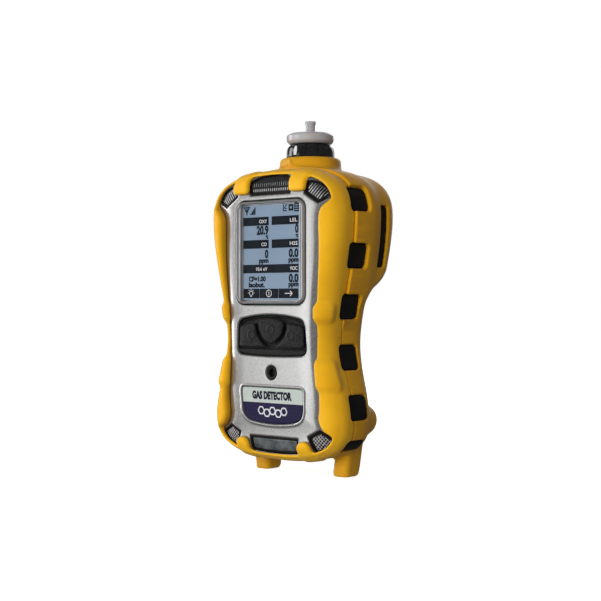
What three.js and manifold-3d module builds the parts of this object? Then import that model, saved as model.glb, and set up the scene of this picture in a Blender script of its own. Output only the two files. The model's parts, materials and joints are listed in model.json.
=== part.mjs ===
// Portable multi-gas detector with a pumped inlet: a silver front cover and a black rear
// housing, each inside a yellow rubber half, with the display, keys, alarm lenses, sample
// path, battery and belt clip as separate pieces.
//
// Millimetres, +Z up. The detector stands on its two rear feet at Z = 0 with its front
// facing -Y. X = 0 is the plane of symmetry.
import * as THREE from 'three';
import { mergeVertices } from 'three/addons/utils/BufferGeometryUtils.js';
import Module from 'manifold-3d';

// ---- driving dimensions ----
const REAR_Y = 33; // the back of the sensor hump
const SEAM_Y = -11; // where the front and rear halves meet
const SLAB_REAR_Y = 13; // the back of the lower body
const TOP_Z = 176.8;
const BOTTOM_Z = 8.8;
const SHOULDER = { x: 48.25, z: 150 };
const WAIST = { x: 39, z: 80 };
const HIP = { x: 48, z: 32 };
const GAP = 0.3; // clearance between touching pieces
const RUBBER = 3.2; // boot thickness
const WALL = 2.4; // moulded wall thickness
const FACE_Y = -28.2; // the flat of the front cover
const INLET = { y: 8.5, collarR: 18.2, collarTop: 185 };
const DISPLAY = { z: 128.7, bezelW: 53, bezelH: 59.4, windowW: 44.6, windowH: 56.4 };
const BEZEL_Y = -28.7; // the front of the display bezel
const KEYPAD_HALF_W = 26.2;
const BATTERY = { halfW: 25.5, z0: 24, z1: 97, frontY: -7.6, rearY: 14.2 };
const SEGMENTS = 16; // facets round a small cylinder
const DIVISIONS = [9, 5, 5, 9]; // points on each curve of half the outline, from the top
const STATIONS = 56; // points round the whole outline

// ---- materials ----
const paint = (color, roughness = 0.6, metalness = 0) =>
  new THREE.MeshStandardMaterial({ color, roughness, metalness });
const YELLOW = paint(0xf2b21c, 0.55);
const SILVER = paint(0xb9b9bb, 0.4, 0.5);
const BLACK = paint(0x17181a, 0.5);
const KEY_RUBBER = paint(0x222324, 0.75);
const CLEAR = paint(0xdfe8ee, 0.08);
const LCD_BLUE = paint(0x93a9c8, 0.3);
const LENS = paint(0x6d6e70, 0.25);
const LABEL = paint(0x26224a, 0.35);
const FROSTED = paint(0xd4d4d4, 0.45);
const STEEL = paint(0xa9acb0, 0.3, 0.9);
const GOLD = paint(0xd6a84a, 0.3, 0.9);
const BOARD = paint(0x14532d, 0.6);
const SILICONE = paint(0xd9d2c4, 0.6);

// ---- solids ----
const wasm = await Module();
wasm.setup();

// A closed geometry as a solid, whichever way its faces were wound.
function solid(geometry) {
  const bare = geometry.index ? geometry.toNonIndexed() : geometry.clone();
  bare.deleteAttribute('normal');
  bare.deleteAttribute('uv');
  const merged = mergeVertices(bare, 1e-3);
  const points = merged.attributes.position.array;
  const faces = new Uint32Array(merged.index.array);
  if (signedVolume(points, faces) < 0) faces.reverse();
  return new wasm.Manifold(
    new wasm.Mesh({ numProp: 3, vertProperties: points, triVerts: faces }),
  );
}

function signedVolume(points, faces) {
  const [a, b, c] = [new THREE.Vector3(), new THREE.Vector3(), new THREE.Vector3()];
  let sum = 0;
  for (let i = 0; i < faces.length; i += 3) {
    a.fromArray(points, faces[i] * 3);
    b.fromArray(points, faces[i + 1] * 3);
    c.fromArray(points, faces[i + 2] * 3);
    sum += a.dot(b.cross(c));
  }
  return sum / 6;
}

function geometryOf(made) {
  const { numProp, numVert, vertProperties, triVerts } = made.getMesh();
  const points = new Float32Array(numVert * 3);
  for (let i = 0; i < numVert; i++)
    points.set(vertProperties.subarray(i * numProp, i * numProp + 3), i * 3);
  const geometry = new THREE.BufferGeometry()
    .setAttribute('position', new THREE.BufferAttribute(points, 3))
    .setIndex(new THREE.BufferAttribute(triVerts, 1));
  geometry.computeVertexNormals();
  return geometry;
}

const union = (first, ...rest) => rest.reduce((sum, s) => sum.add(s), first);
const cut = (first, ...rest) => rest.reduce((sum, s) => sum.subtract(s), first);
const mirrorX = (made) => made.mirror([1, 0, 0]);

function box(x0, x1, y0, y1, z0, z1) {
  const g = new THREE.BoxGeometry(x1 - x0, y1 - y0, z1 - z0);
  return solid(g.translate((x0 + x1) / 2, (y0 + y1) / 2, (z0 + z1) / 2));
}

// A cylinder from `from` to `to` along one axis, centred on the other two coordinates.
function rod(axis, r, from, to, [u, v], r2 = r, sides = SEGMENTS) {
  const g = new THREE.CylinderGeometry(r2, r, to - from, sides);
  const mid = (from + to) / 2;
  if (axis === 'x') return solid(g.rotateZ(-Math.PI / 2).translate(mid, u, v));
  if (axis === 'y') return solid(g.translate(u, mid, v));
  return solid(g.rotateX(Math.PI / 2).translate(u, v, mid));
}

// A shape drawn in two of the axes, extruded along the third.
const PRISM_BASES = {
  x: [[0, 1, 0], [0, 0, 1], [1, 0, 0]], // drawn in (y, z)
  y: [[1, 0, 0], [0, 0, 1], [0, -1, 0]], // drawn in (x, z)
  z: [[1, 0, 0], [0, 1, 0], [0, 0, 1]], // drawn in (x, y)
};

function prism(axis, shape, from, to, curveSegments = 3) {
  const g = new THREE.ExtrudeGeometry(shape, {
    depth: to - from, bevelEnabled: false, curveSegments,
  });
  const basis = PRISM_BASES[axis].map((v) => new THREE.Vector3(...v));
  g.applyMatrix4(new THREE.Matrix4().makeBasis(...basis));
  if (axis === 'x') return solid(g.translate(from, 0, 0));
  return solid(axis === 'y' ? g.translate(0, to, 0) : g.translate(0, 0, from));
}

function roundedRect(cx, cy, w, h, r) {
  const [x0, x1, y0, y1] = [cx - w / 2, cx + w / 2, cy - h / 2, cy + h / 2];
  const s = new THREE.Shape();
  s.moveTo(x0 + r, y0);
  s.lineTo(x1 - r, y0).absarc(x1 - r, y0 + r, r, -Math.PI / 2, 0);
  s.lineTo(x1, y1 - r).absarc(x1 - r, y1 - r, r, 0, Math.PI / 2);
  s.lineTo(x0 + r, y1).absarc(x0 + r, y1 - r, r, Math.PI / 2, Math.PI);
  s.lineTo(x0, y0 + r).absarc(x0 + r, y0 + r, r, Math.PI, 1.5 * Math.PI);
  return s;
}

const polygon = (points) => new THREE.Shape(points.map(([x, y]) => new THREE.Vector2(x, y)));

// A turned solid about Z from [radius, z] pairs that start and end on the axis.
function turned(profile, [x, y], sides = 28) {
  const points = profile.map(([r, z]) => new THREE.Vector2(r, z));
  return solid(new THREE.LatheGeometry(points, sides).rotateX(Math.PI / 2).translate(x, y, 0));
}

// ---- the hourglass outline, seen from the front ----
// The right half as beziers: top, shoulder to waist, waist to hip, bottom.
const HALF_OUTLINE = [
  [[0, TOP_Z], [34, TOP_Z], [SHOULDER.x, 170], [SHOULDER.x, SHOULDER.z]],
  [[SHOULDER.x, SHOULDER.z], [SHOULDER.x, 122], [WAIST.x, 102], [WAIST.x, WAIST.z]],
  [[WAIST.x, WAIST.z], [WAIST.x, 62], [HIP.x, 50], [HIP.x, HIP.z]],
  [[HIP.x, HIP.z], [HIP.x, 13.5], [30, BOTTOM_Z], [0, BOTTOM_Z]],
];

// Points round the outline from the top centre, so that point i mirrors point n - i.
function outlinePoints() {
  const right = HALF_OUTLINE.flatMap((bezier, k) => {
    const curve = new THREE.CubicBezierCurve(...bezier.map(([x, z]) => new THREE.Vector2(x, z)));
    return curve.getSpacedPoints(DIVISIONS[k]).slice(k ? 1 : 0);
  });
  const left = right.slice(1, -1).reverse().map((p) => new THREE.Vector2(-p.x, p.y));
  return [...right, ...left];
}

const OUTLINE = outlinePoints();
const INWARD = OUTLINE.map((p, i) => {
  const before = OUTLINE[(i + STATIONS - 1) % STATIONS];
  const after = OUTLINE[(i + 1) % STATIONS];
  const along = after.clone().sub(before).normalize();
  return new THREE.Vector2(along.y, -along.x);
});

const insetPoint = (i, inset) => OUTLINE[i].clone().addScaledVector(INWARD[i], inset);

// The front falls back towards the bottom, and a little at the very top.
function lean(z) {
  if (z < 105) return 4 * ((105 - z) / 96) ** 1.5;
  return z > 150 ? 1.2 * ((z - 150) / 27) ** 2 : 0;
}

const leanShare = (y) => THREE.MathUtils.clamp((-y - 12) / 10, 0, 1);

function ring(inset, y, share = leanShare(y)) {
  return OUTLINE.map((_, i) => {
    const p = insetPoint(i, inset);
    return new THREE.Vector3(p.x, y + share * lean(p.y), p.y);
  });
}

const flatRing = (inset, y) => ring(inset, y, 0);

// The solid through a stack of rings. Its end caps are strips between mirrored points.
function loft(rings) {
  const n = rings[0].length;
  const points = rings.flat().flatMap((p) => [p.x, p.y, p.z]);
  const faces = [];
  const quad = (a, b, c, d) => {
    if (a !== b && b !== c) faces.push(a, b, c);
    if (c !== d && d !== a) faces.push(a, c, d);
  };
  for (let r = 0; r + 1 < rings.length; r++)
    for (let i = 0; i < n; i++) {
      const j = (i + 1) % n;
      quad(r * n + i, r * n + j, (r + 1) * n + j, (r + 1) * n + i);
    }
  const last = (rings.length - 1) * n;
  for (let i = 0; i < n / 2; i++) {
    const [b, c, d] = [i + 1, n - i - 1, (n - i) % n];
    quad(d, c, b, i);
    quad(last + i, last + b, last + c, last + d);
  }
  const g = new THREE.BufferGeometry()
    .setAttribute('position', new THREE.Float32BufferAttribute(points, 3))
    .setIndex(faces);
  return solid(g);
}

// Inner surfaces are drawn with every second point.
const halved = (rings) => rings.map((points) => points.filter((_, i) => i % 2 === 0));

// ---- the outer forms, each at any inset from the outer skin ----
// A full-outline block from frontY to rearY, its rear edge rounded.
function roundedBlock(inset, frontY, rearY, radius) {
  const rings = [ring(inset, frontY)];
  const r = radius - inset;
  const steps = inset < RUBBER ? 3 : 1;
  for (let k = 0; k <= steps; k++) {
    const a = (k / steps) * (Math.PI / 2);
    rings.push(ring(inset + r * (1 - Math.cos(a)), rearY - inset - r + r * Math.sin(a)));
  }
  return loft(inset < RUBBER ? rings : halved(rings));
}

// The side view of the hump: a sloping underside and a slightly raked back.
function humpProfile(inset) {
  const floor = 99 + 1.22 * inset;
  const back = REAR_Y - inset;
  return polygon([
    [-60, floor], [4, floor], [back - 3.6, floor + 17.4], [back - 1.6, floor + 20.6],
    [back, floor + 46], [back, 220], [-60, 220],
  ]);
}

function rearForm(inset, frontY = SEAM_Y + GAP / 2) {
  const slab = roundedBlock(inset, frontY, SLAB_REAR_Y, 8);
  const hump = roundedBlock(inset, SLAB_REAR_Y - 9, REAR_Y, 12);
  return slab.add(hump.intersect(prism('x', humpProfile(inset), -60, 60)));
}

// The front cover's skin: a gently crowned face whose edges slope back under the bumper.
const COVER_RINGS = [[3.5, -21], [4.7, -24.2], [8, -27], [12.5, FACE_Y]];

function coverForm(offset, rearY) {
  const rings = COVER_RINGS.map(([inset, y]) => ring(inset + offset, y + offset));
  const all = [ring(3.5 + offset, rearY), ...rings];
  return loft(offset < WALL ? all : halved(all));
}

// The part of the front face inside a shape, between two depths below the cover's skin.
const faceLayer = (shape, from, to, rearY = -14.5) => prism('y', shape, -40, rearY, 5)
  .intersect(coverForm(from, -14))
  .subtract(coverForm(to, -12));

// ---- pads and windows shared by several pieces ----
const PAD = { y0: -13.5, y1: 2, r: 2.5 };
// [centre height, length along the outline]
const PADS = [[158.5, 14.4], [126.2, 14], [97.5, 14], [69, 14], [41, 14.2], [18.4, 9]];

// A rounded pad standing on the outline, from one inset to another.
function pad([z, height], grow, fromInset, toInset, y0 = PAD.y0, y1 = PAD.y1) {
  const half = STATIONS / 2;
  const i = OUTLINE.findIndex((p, k) => k > 0 && k < half && p.y < z);
  const t = (OUTLINE[i - 1].y - z) / (OUTLINE[i - 1].y - OUTLINE[i].y);
  const at = OUTLINE[i - 1].clone().lerp(OUTLINE[i], t);
  const inward = INWARD[i - 1].clone().lerp(INWARD[i], t).normalize();
  const w = y1 - y0 + 2 * grow;
  const shape = roundedRect((y0 + y1) / 2, 0, w, height + 2 * grow, PAD.r);
  const g = new THREE.ExtrudeGeometry(shape, {
    depth: toInset - fromInset, bevelEnabled: false, curveSegments: 1,
  });
  const into = new THREE.Vector3(inward.x, 0, inward.y);
  const along = new THREE.Vector3(0, 1, 0);
  g.applyMatrix4(new THREE.Matrix4().makeBasis(along, into.clone().cross(along), into));
  const start = at.addScaledVector(inward, fromInset);
  return solid(g.translate(start.x, 0, start.y));
}

const onBothSides = (made) => [made, mirrorX(made)];
const padWindows = () => PADS.flatMap((p) => onBothSides(pad(p, GAP, -2.5, 8)));

// The long dark slot behind the pads, on each side of the hump.
const slotShape = (grow) =>
  roundedRect(17.2, 138, 6.4 + 2 * grow, 35 + 2 * grow, 1 + grow);
const sideSlots = (grow, x0, x1) => onBothSides(prism('x', slotShape(grow), x0, x1));

// Alarm lens openings, drawn in (x, z).
function topLensShape(grow) {
  const s = new THREE.Shape();
  s.moveTo(-15.5 - grow, 162 - grow).lineTo(15.5 + grow, 162 - grow);
  s.lineTo(15 + grow, 170.2 + grow).quadraticCurveTo(0, 171.8 + grow, -15 - grow, 170.2 + grow);
  return s;
}

function bottomLensShape(grow) {
  const s = new THREE.Shape();
  s.moveTo(-17.5 - grow, 22.6 + grow).lineTo(17.5 + grow, 22.6 + grow);
  s.lineTo(16 + grow, 15.4 - grow).quadraticCurveTo(0, 14 - grow, -16 - grow, 15.4 - grow);
  return s;
}

const scaled = (points, grow) => {
  const cx = points.reduce((sum, p) => sum + p[0], 0) / points.length;
  const cz = points.reduce((sum, p) => sum + p[1], 0) / points.length;
  return points.map(([x, z]) => [
    x + grow * Math.sign(x - cx), z + grow * Math.sign(z - cz),
  ]);
};
const topCornerShape = (grow) => polygon(scaled(
  [[26.6, 161.2], [33.1, 155.6], [40.6, 159.2], [39.6, 163.6], [35.2, 166.8], [29.8, 167.4]], grow));
const bottomCornerShape = (grow) => polygon(scaled(
  [[29.7, 24], [36.8, 28.6], [42.6, 24.2], [40.6, 19.6], [34, 16.6]], grow));

const lensOpenings = (grow) => [
  prism('y', topLensShape(grow), -40, -14),
  prism('y', bottomLensShape(grow), -40, -14),
  ...onBothSides(prism('y', topCornerShape(grow), -40, -14)),
  ...onBothSides(prism('y', bottomCornerShape(grow), -40, -14)),
];

// A lens fills its opening and sits a little below the cover's skin.
const lens = (shape) => faceLayer(shape, 1, 3.4, -18.6);

// ---- front half ----
function keypadOpening(grow) {
  const w = KEYPAD_HALF_W + grow;
  const s = new THREE.Shape();
  s.moveTo(-w + 4, 69.9 - grow).quadraticCurveTo(0, 68.4 - grow, w - 4, 69.9 - grow);
  s.quadraticCurveTo(w, 70.2 - grow, w, 74.5).lineTo(w - 0.8, 86);
  s.quadraticCurveTo(w - 1.2, 90.4 + grow, w - 7, 91 + grow);
  s.quadraticCurveTo(0, 94.6 + grow, -w + 7, 91 + grow);
  s.quadraticCurveTo(-w + 1.2, 90.4 + grow, -w + 0.8, 86).lineTo(-w, 74.5);
  s.quadraticCurveTo(-w, 70.2 - grow, -w + 4, 69.9 - grow);
  return s;
}

function labelShape(grow) {
  const w = 23.2 + grow;
  const s = new THREE.Shape();
  s.moveTo(-w + 2.5, 51.2 + grow).lineTo(w - 2.5, 51.2 + grow);
  s.quadraticCurveTo(w, 51.2 + grow, w, 48.7).lineTo(w - 0.4, 38.5);
  s.quadraticCurveTo(w - 0.8, 33.2 - grow, w - 7, 31.6 - grow);
  s.quadraticCurveTo(0, 28.9 - grow, -w + 7, 31.6 - grow);
  s.quadraticCurveTo(-w + 0.8, 33.2 - grow, -w + 0.4, 38.5).lineTo(-w, 48.7);
  s.quadraticCurveTo(-w, 51.2 + grow, -w + 2.5, 51.2 + grow);
  return s;
}

const BUZZER_Z = 59.7;
const CASE_SCREWS = [[-31.2, 84], [31.2, 84], [-36.8, 38], [36.8, 38]];

function frontCover() {
  const shell = cut(coverForm(0, SEAM_Y - 0.9), coverForm(WALL, SEAM_Y));
  const posts = CASE_SCREWS.map(([x, z]) =>
    rod('y', 3.1, -27, -13.4, [x, z], 3.1, 12).intersect(coverForm(0.6, -13)));
  return cut(
    union(shell, ...posts),
    prism('y', roundedRect(0, DISPLAY.z, DISPLAY.bezelW + 2 * GAP, DISPLAY.bezelH + 2 * GAP, 6),
      -40, -16),
    prism('y', keypadOpening(0), -40, -16, 5),
    prism('y', labelShape(GAP), -40, -20, 5).subtract(coverForm(1.1, -12)),
    rod('y', 4, -40, -18, [0, BUZZER_Z]),
    ...lensOpenings(0),
    ...CASE_SCREWS.map(([x, z]) => rod('y', 1.8, -21, -10, [x, z], 1.8, 12)),
  );
}

// Width of the bumper's rim: narrow round the alarm lenses, broad down both cheeks.
function rimWidth({ x, y: z }) {
  const onCheek = Math.abs(x) > 36 && z > 31 && z < 156;
  if (!onCheek) return 4.4;
  const waistward = Math.abs(z - WAIST.z) / (z > WAIST.z ? 62 : 44);
  return 6 + 5.4 * Math.min(1, waistward) ** 1.3;
}

// The rim rolls over from the side of the body like a quarter ellipse, out to a crest at
// this share of its width, then turns down inside.
const RIM = { depth: 15.2, reach: 9.5, sideY: -17 };
const RIM_SHARES = [0.07, 0.22, 0.45, 0.72];
const rollY = (s) =>
  RIM.sideY - RIM.depth * Math.sqrt(1 - (1 - Math.min(s / RIM.reach, 1)) ** 2);

function rimSection(width) {
  const rolled = RIM_SHARES.map((share) => [share * width, rollY(share * width)]);
  const crest = rolled.at(-1)[1];
  return [[0, SEAM_Y - GAP / 2], [0, RIM.sideY], ...rolled, [width - 0.8, crest + 1.2],
    [width, crest + 3], [width, SEAM_Y - GAP / 2]];
}

// The bumper's ring, grown outwards and forwards.
function rimRing(grow = 0) {
  const n = STATIONS;
  const sections = OUTLINE.map((at, i) => rimSection(rimWidth(at)).map(([s, y]) => {
    const p = insetPoint(i, s - grow);
    return [p.x, y - (y < SEAM_Y - 1 ? grow : 0) + leanShare(y) * lean(p.y), p.y];
  }));
  const m = sections[0].length;
  const faces = [];
  for (let i = 0; i < n; i++)
    for (let k = 0; k < m; k++) {
      const [a, b] = [i * m + k, i * m + ((k + 1) % m)];
      const [c, d] = [((i + 1) % n) * m + ((k + 1) % m), ((i + 1) % n) * m + k];
      faces.push(a, b, c, a, c, d);
    }
  const g = new THREE.BufferGeometry()
    .setAttribute('position', new THREE.Float32BufferAttribute(sections.flat(2), 3))
    .setIndex(faces);
  return solid(g);
}

const TOP_TAB = { x: 21.5, w: 14, z0: 162.4, z1: 174.4, y: -29.8 };
const BOTTOM_TAB = { x: 23.2, w: 11.6, z0: 11.4, z1: 23.6, y: -27.6 };
const GRIPS = [[94, 10.5], [59.5, 17]]; // [centre height, height] of the side grips
const GRIP_RISE = 2.6;

function tab({ x, w, z0, z1, y }, r) {
  return prism('y', roundedRect(x, (z0 + z1) / 2, w, z1 - z0, r), y, -20);
}

function frontBumper() {
  const tabs = [tab(TOP_TAB, 3.4), tab(BOTTOM_TAB, 4.6)].flatMap(onBothSides);
  const raised = rimRing(GRIP_RISE);
  const grips = GRIPS.map(([z, h]) =>
    raised.intersect(box(-60, 60, -40, RIM.sideY, z - h / 2, z + h / 2)));
  return cut(
    union(rimRing(), ...tabs, ...grips),
    coverForm(-GAP, SEAM_Y + 5),
    ...padWindows(),
  );
}

function displayBezel() {
  const { z, bezelW, bezelH, windowW, windowH } = DISPLAY;
  const outer = prism('y', roundedRect(0, z, bezelW, bezelH, 6), BEZEL_Y, -25.2);
  const seat = prism('y', roundedRect(0, z, windowW, windowH, 3), -40, -26.7);
  const opening = prism('y', roundedRect(0, z, LCD.w + 2 * GAP, LCD.h + 2 * GAP, 1), -40, -20, 1);
  return cut(outer, seat, opening);
}

const displayWindow = () => prism('y',
  roundedRect(0, DISPLAY.z, DISPLAY.windowW - 2 * GAP, DISPLAY.windowH - 2 * GAP, 2.7),
  -28, -27);

const LCD = { w: 42.4, h: 54.4 };
const lcdPanel = () => box(-LCD.w / 2, LCD.w / 2, -26.7, -25.3,
  DISPLAY.z - LCD.h / 2, DISPLAY.z + LCD.h / 2);
const lcdFrame = () => cut(
  box(-25.2, 25.2, -24.9, -19.4, DISPLAY.z - 28.8, DISPLAY.z + 28.8),
  box(-22, 22, -23.4, -18, DISPLAY.z - 26, DISPLAY.z + 26));

function keypadBase() {
  const slab = prism('y', roundedRect(0, 82.2, 55, 28, 3), -40, -20);
  const plate = cut(slab.intersect(coverForm(WALL + GAP, -14)), coverForm(WALL + 1.9, -12));
  const lip = prism('y', roundedRect(0, 71.9, 44, 2.6, 1.2), -26.8, -24.4, 2);
  return union(plate, lip);
}

// The centre key is a shield, round above and pointed below.
function modeShape(grow) {
  const [w, foot, head] = [9.5 + grow, 76.2 - 1.1 * grow, 90.9 + 0.6 * grow];
  const s = new THREE.Shape();
  s.moveTo(0, foot).bezierCurveTo(4.2, 77.4 - grow, w - 0.2, 81.5, w, 86.8);
  s.bezierCurveTo(w, 90.3 + grow, 5, head, 0, head);
  s.bezierCurveTo(-5, head, -w, 90.3 + grow, -w, 86.8);
  s.bezierCurveTo(-w + 0.2, 81.5, -4.2, 77.4 - grow, 0, foot);
  return s;
}

const KEY_Y = { front: -28.1, back: -26.3 };
const keyMode = () => prism('y', modeShape(0), KEY_Y.front, KEY_Y.back, 5);

function keyRight() {
  const blank = prism('y', roundedRect(12.7, 81.4, 24.2, 14.6, 2.6), KEY_Y.front, KEY_Y.back);
  return cut(blank, prism('y', modeShape(2), -40, -20, 5));
}

const labelPlate = () => faceLayer(labelShape(0), 0, 0.8);

const buzzerGrommet = () => {
  const y = FACE_Y + lean(BUZZER_Z);
  return cut(rod('y', 3.7, y + 0.5, y + 3.4, [0, BUZZER_Z]),
    rod('y', 2.5, -40, y + 2.4, [0, BUZZER_Z], 2.5, 16));
};
const buzzer = () => rod('y', 7.6, -23, -17.9, [0, BUZZER_Z]);

// ---- rear half ----
const sensorCoverShape = (grow) =>
  roundedRect(0, 144, 60 + 2 * grow, 42 + 2 * grow, 4 + grow);
const SENSOR_SCREWS = [[-25.6, 127.6], [25.6, 127.6], [-25.6, 160.4], [25.6, 160.4]];
const batteryShape = (grow) => roundedRect(0, (BATTERY.z0 + BATTERY.z1) / 2,
  2 * (BATTERY.halfW + grow), BATTERY.z1 - BATTERY.z0 + 2 * grow, 4);
const FOOT = { x: 30.4, w: 9.8, y0: -2.4, y1: 12, top: 13 };
const EXHAUST = { y: -2, z: 112.5 };
const CONTACTS = { y: 0.5, halfW: 13, d: 9 };

// A foot is flat underneath at the front and curves up behind.
function foot() {
  const { x, w, y0, y1, top } = FOOT;
  const side = new THREE.Shape();
  side.moveTo(y0, top).lineTo(y0, 1).quadraticCurveTo(y0, 0, y0 + 1, 0);
  side.lineTo(y1 - 4, 0).quadraticCurveTo(y1, 1, y1, 7).lineTo(y1, top);
  return prism('x', side, x - w / 2, x + w / 2);
}

// A rounded knuckle on the lower rear corner of the boot.
function cornerBump() {
  const g = new THREE.SphereGeometry(1, 14, 8).scale(6.2, 8, 8.2);
  return solid(g.translate(38.8, 10.2, 32.5));
}

function collar() {
  const { y, collarR: r, collarTop: top } = INLET;
  return turned([[0, 165], [r + 0.8, 165], [r + 0.5, 176], [r, top - 1.6], [r - 1.4, top],
    [0, top]], [0, y]);
}

// A small raised pointer on the collar, in line with the nut's index mark.
const collarArrow = () => prism('y', polygon([[-2.4, 178.4], [2.4, 178.4], [0, 183.4]]),
  INLET.y - INLET.collarR - 0.7, INLET.y - INLET.collarR + 2);

function rearBoot() {
  const outside = union(rearForm(0), collar(), collarArrow(),
    ...[foot(), cornerBump()].flatMap(onBothSides));
  return cut(
    outside,
    rearForm(RUBBER, SEAM_Y - 5),
    ...padWindows(),
    ...sideSlots(GAP, 36, 60),
    rod('z', 12.6, 150, 200, [0, INLET.y], 12.6, 28),
    prism('y', batteryShape(0.5), 0, 40),
    prism('y', sensorCoverShape(GAP), 20, 40),
    ...CASE_SCREWS.map(([x, z]) => rod('y', 3.6, 0, 40, [x, z], 3.6, 12)),
    rod('x', 4.4, -60, -30, [EXHAUST.y, EXHAUST.z], 4.4, 16),
    box(-CONTACTS.halfW - GAP, CONTACTS.halfW + GAP, CONTACTS.y - CONTACTS.d / 2 - GAP,
      CONTACTS.y + CONTACTS.d / 2 + GAP, 0, 16),
  );
}

function rearHousing() {
  const skin = RUBBER + GAP;
  const shell = cut(rearForm(skin, SEAM_Y + 0.6), rearForm(skin + WALL, SEAM_Y - 5));
  const pads = PADS.flatMap((p) => [
    pad(p, 0, 0.9, 3),
    pad(p, 0, 0.9, 4.6, SEAM_Y + 0.6),
  ].flatMap(onBothSides));
  const posts = SENSOR_SCREWS.map(([x, z]) =>
    rod('y', 3.4, 24.3, REAR_Y - 4.6, [x, z], 3.4, 12));
  const slots = sideSlots(0, 38, 60).map((s) =>
    s.intersect(cut(rearForm(1), rearForm(5, SEAM_Y - 5))));
  const opened = cut(
    union(shell, ...pads, ...slots),
    prism('y', sensorCoverShape(-2), 20, 40),
  );
  return cut(
    union(opened, ...posts),
    rod('z', 9.2, 150, 200, [0, INLET.y], 9.2, 24),
    prism('y', batteryShape(GAP), 0, 40),
    prism('y', sensorCoverShape(GAP), REAR_Y - 4.6, 40),
    ...SENSOR_SCREWS.map(([x, z]) => rod('y', 1.7, 20, 40, [x, z], 1.7, 12)),
    ...CASE_SCREWS.map(([x, z]) => rod('y', 1.8, -20, 40, [x, z], 1.8, 12)),
    rod('x', 2.6, -60, -30, [EXHAUST.y, EXHAUST.z], 2.6, 12),
    box(-CONTACTS.halfW - GAP, CONTACTS.halfW + GAP, CONTACTS.y - CONTACTS.d / 2 - GAP,
      CONTACTS.y + CONTACTS.d / 2 + GAP, 0, 17),
  );
}

function housingGasket() {
  const band = loft([ring(3.9, SEAM_Y - 0.6), ring(3.9, SEAM_Y + 0.1)]);
  return cut(band, loft([ring(5.5, SEAM_Y - 3), ring(5.5, SEAM_Y + 3)]));
}

function sensorCover() {
  const plate = prism('y', sensorCoverShape(0), REAR_Y - 4.3, 40)
    .intersect(prism('x', humpProfile(0.5), -60, 60));
  const wells = SENSOR_SCREWS.map(([x, z]) => rod('y', 3.2, REAR_Y - 2.6, 40, [x, z], 3.2, 12));
  const holes = SENSOR_SCREWS.map(([x, z]) => rod('y', 1.8, 20, 40, [x, z], 1.8, 12));
  return cut(plate, ...wells, ...holes);
}

// A pan-head screw along Y with a hexagon socket, its head towards the rear.
function screw(x, z, headY, headR, shankR, tipY) {
  const head = rod('y', headR, headY - 1.8, headY, [x, z], headR, 12);
  const shank = rod('y', shankR, tipY, headY - 1, [x, z], shankR, 8);
  return cut(union(head, shank), rod('y', 1.3, headY - 1, headY + 1, [x, z], 1.3, 6));
}

// ---- sample inlet ----
function inletFitting() {
  const stem = turned([[0, 166.4], [8.8, 166.4], [8.8, 186], [10.4, 186], [10.4, 190.4],
    [0, 190.4]], [0, INLET.y], 24);
  const flange = rod('z', 12, 166.4, 170, [0, INLET.y], 12, 24);
  return cut(union(stem, flange), rod('z', 4.6, 160, 200, [0, INLET.y], 4.6, 20));
}

const NUT = { z0: 185.4, z1: 193.2, ribs: 12 };

function inletNut() {
  const body = turned([[0, NUT.z0], [14.2, NUT.z0], [14, 188], [13.2, 190.8], [12.1, NUT.z1],
    [0, NUT.z1]], [0, INLET.y]);
  const flutes = [];
  for (let k = 0; k < NUT.ribs; k++) {
    const a = ((k + 0.5) / NUT.ribs) * 2 * Math.PI - Math.PI / 2;
    const [x, y] = [16.2 * Math.cos(a), INLET.y + 16.2 * Math.sin(a)];
    flutes.push(rod('z', 3, NUT.z0 + 0.9, NUT.z1 + 1, [x, y], 3, 8));
  }
  const thread = rod('z', 11, NUT.z0 - 1, 190.9, [0, INLET.y], 11, 24);
  const mouth = rod('z', 5.2, 180, 200, [0, INLET.y], 5.2, 20);
  return cut(body, ...flutes, thread, mouth);
}

function inletFilter() {
  const disc = turned([[0, 187], [3.9, 187], [3.9, 193.5], [12.2, 193.5], [14.2, 195.2],
    [14.2, 198.6], [13.2, 199.8], [3, 199.8], [2.8, 204.6], [3.3, 206.2], [3.3, 207.1],
    [0, 207.1]], [0, INLET.y]);
  return cut(disc, rod('z', 1.5, 180, 210, [0, INLET.y], 1.5, 12));
}

// A soft ring in the mouth of the fitting, round the filter's spigot.
const inletSeal = () => cut(
  rod('z', 7.4, 190.55, 190.85, [0, INLET.y], 7.4, 24),
  rod('z', 4.4, 180, 200, [0, INLET.y], 4.4, 20));

// ---- battery, latch and belt clip ----
const LATCH = { z0: 88, z1: 94.6 };

function batteryCase() {
  const { halfW, z0, z1, frontY, rearY } = BATTERY;
  const block = prism('y', batteryShape(0), frontY, rearY);
  const cells = box(-halfW + 2, halfW - 2, frontY - 1, rearY - 2.6, z0 + 2, z1 - 11);
  const latchBay = box(-9.4, 9.4, rearY - 4, rearY + 2, LATCH.z0 - 4.6, LATCH.z1 + 0.4);
  const bridge = box(-10.4, 10.4, rearY - 6, rearY - 3.6, LATCH.z0 - 6, z1 - 2);
  const ribs = [-20.5, -17.5, 17.5, 20.5].map((x) => box(x - 0.6, x + 0.6, rearY - 1,
    rearY + 0.7, z0 + 12, z1 - 14));
  return cut(union(cut(union(block, ...ribs), cells), bridge), latchBay);
}

function batteryLatch() {
  const { rearY } = BATTERY;
  const slide = box(-9, 9, rearY - 3.7, rearY - 0.6, LATCH.z0, LATCH.z1);
  const ridges = [90, 92.2].map((z) => box(-7, 7, rearY - 1, rearY + 0.5, z - 0.5, z + 0.5));
  return union(slide, ...ridges);
}

const batteryCell = (x) => union(
  rod('z', 9.1, 28, 82, [x, 1.6], 9.1, 20), rod('z', 3, 81, 84, [x, 1.6], 3, 12));

const CLIP = { y: 21.4, z: 80, halfW: 9, pinR: 1.5 };

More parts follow.
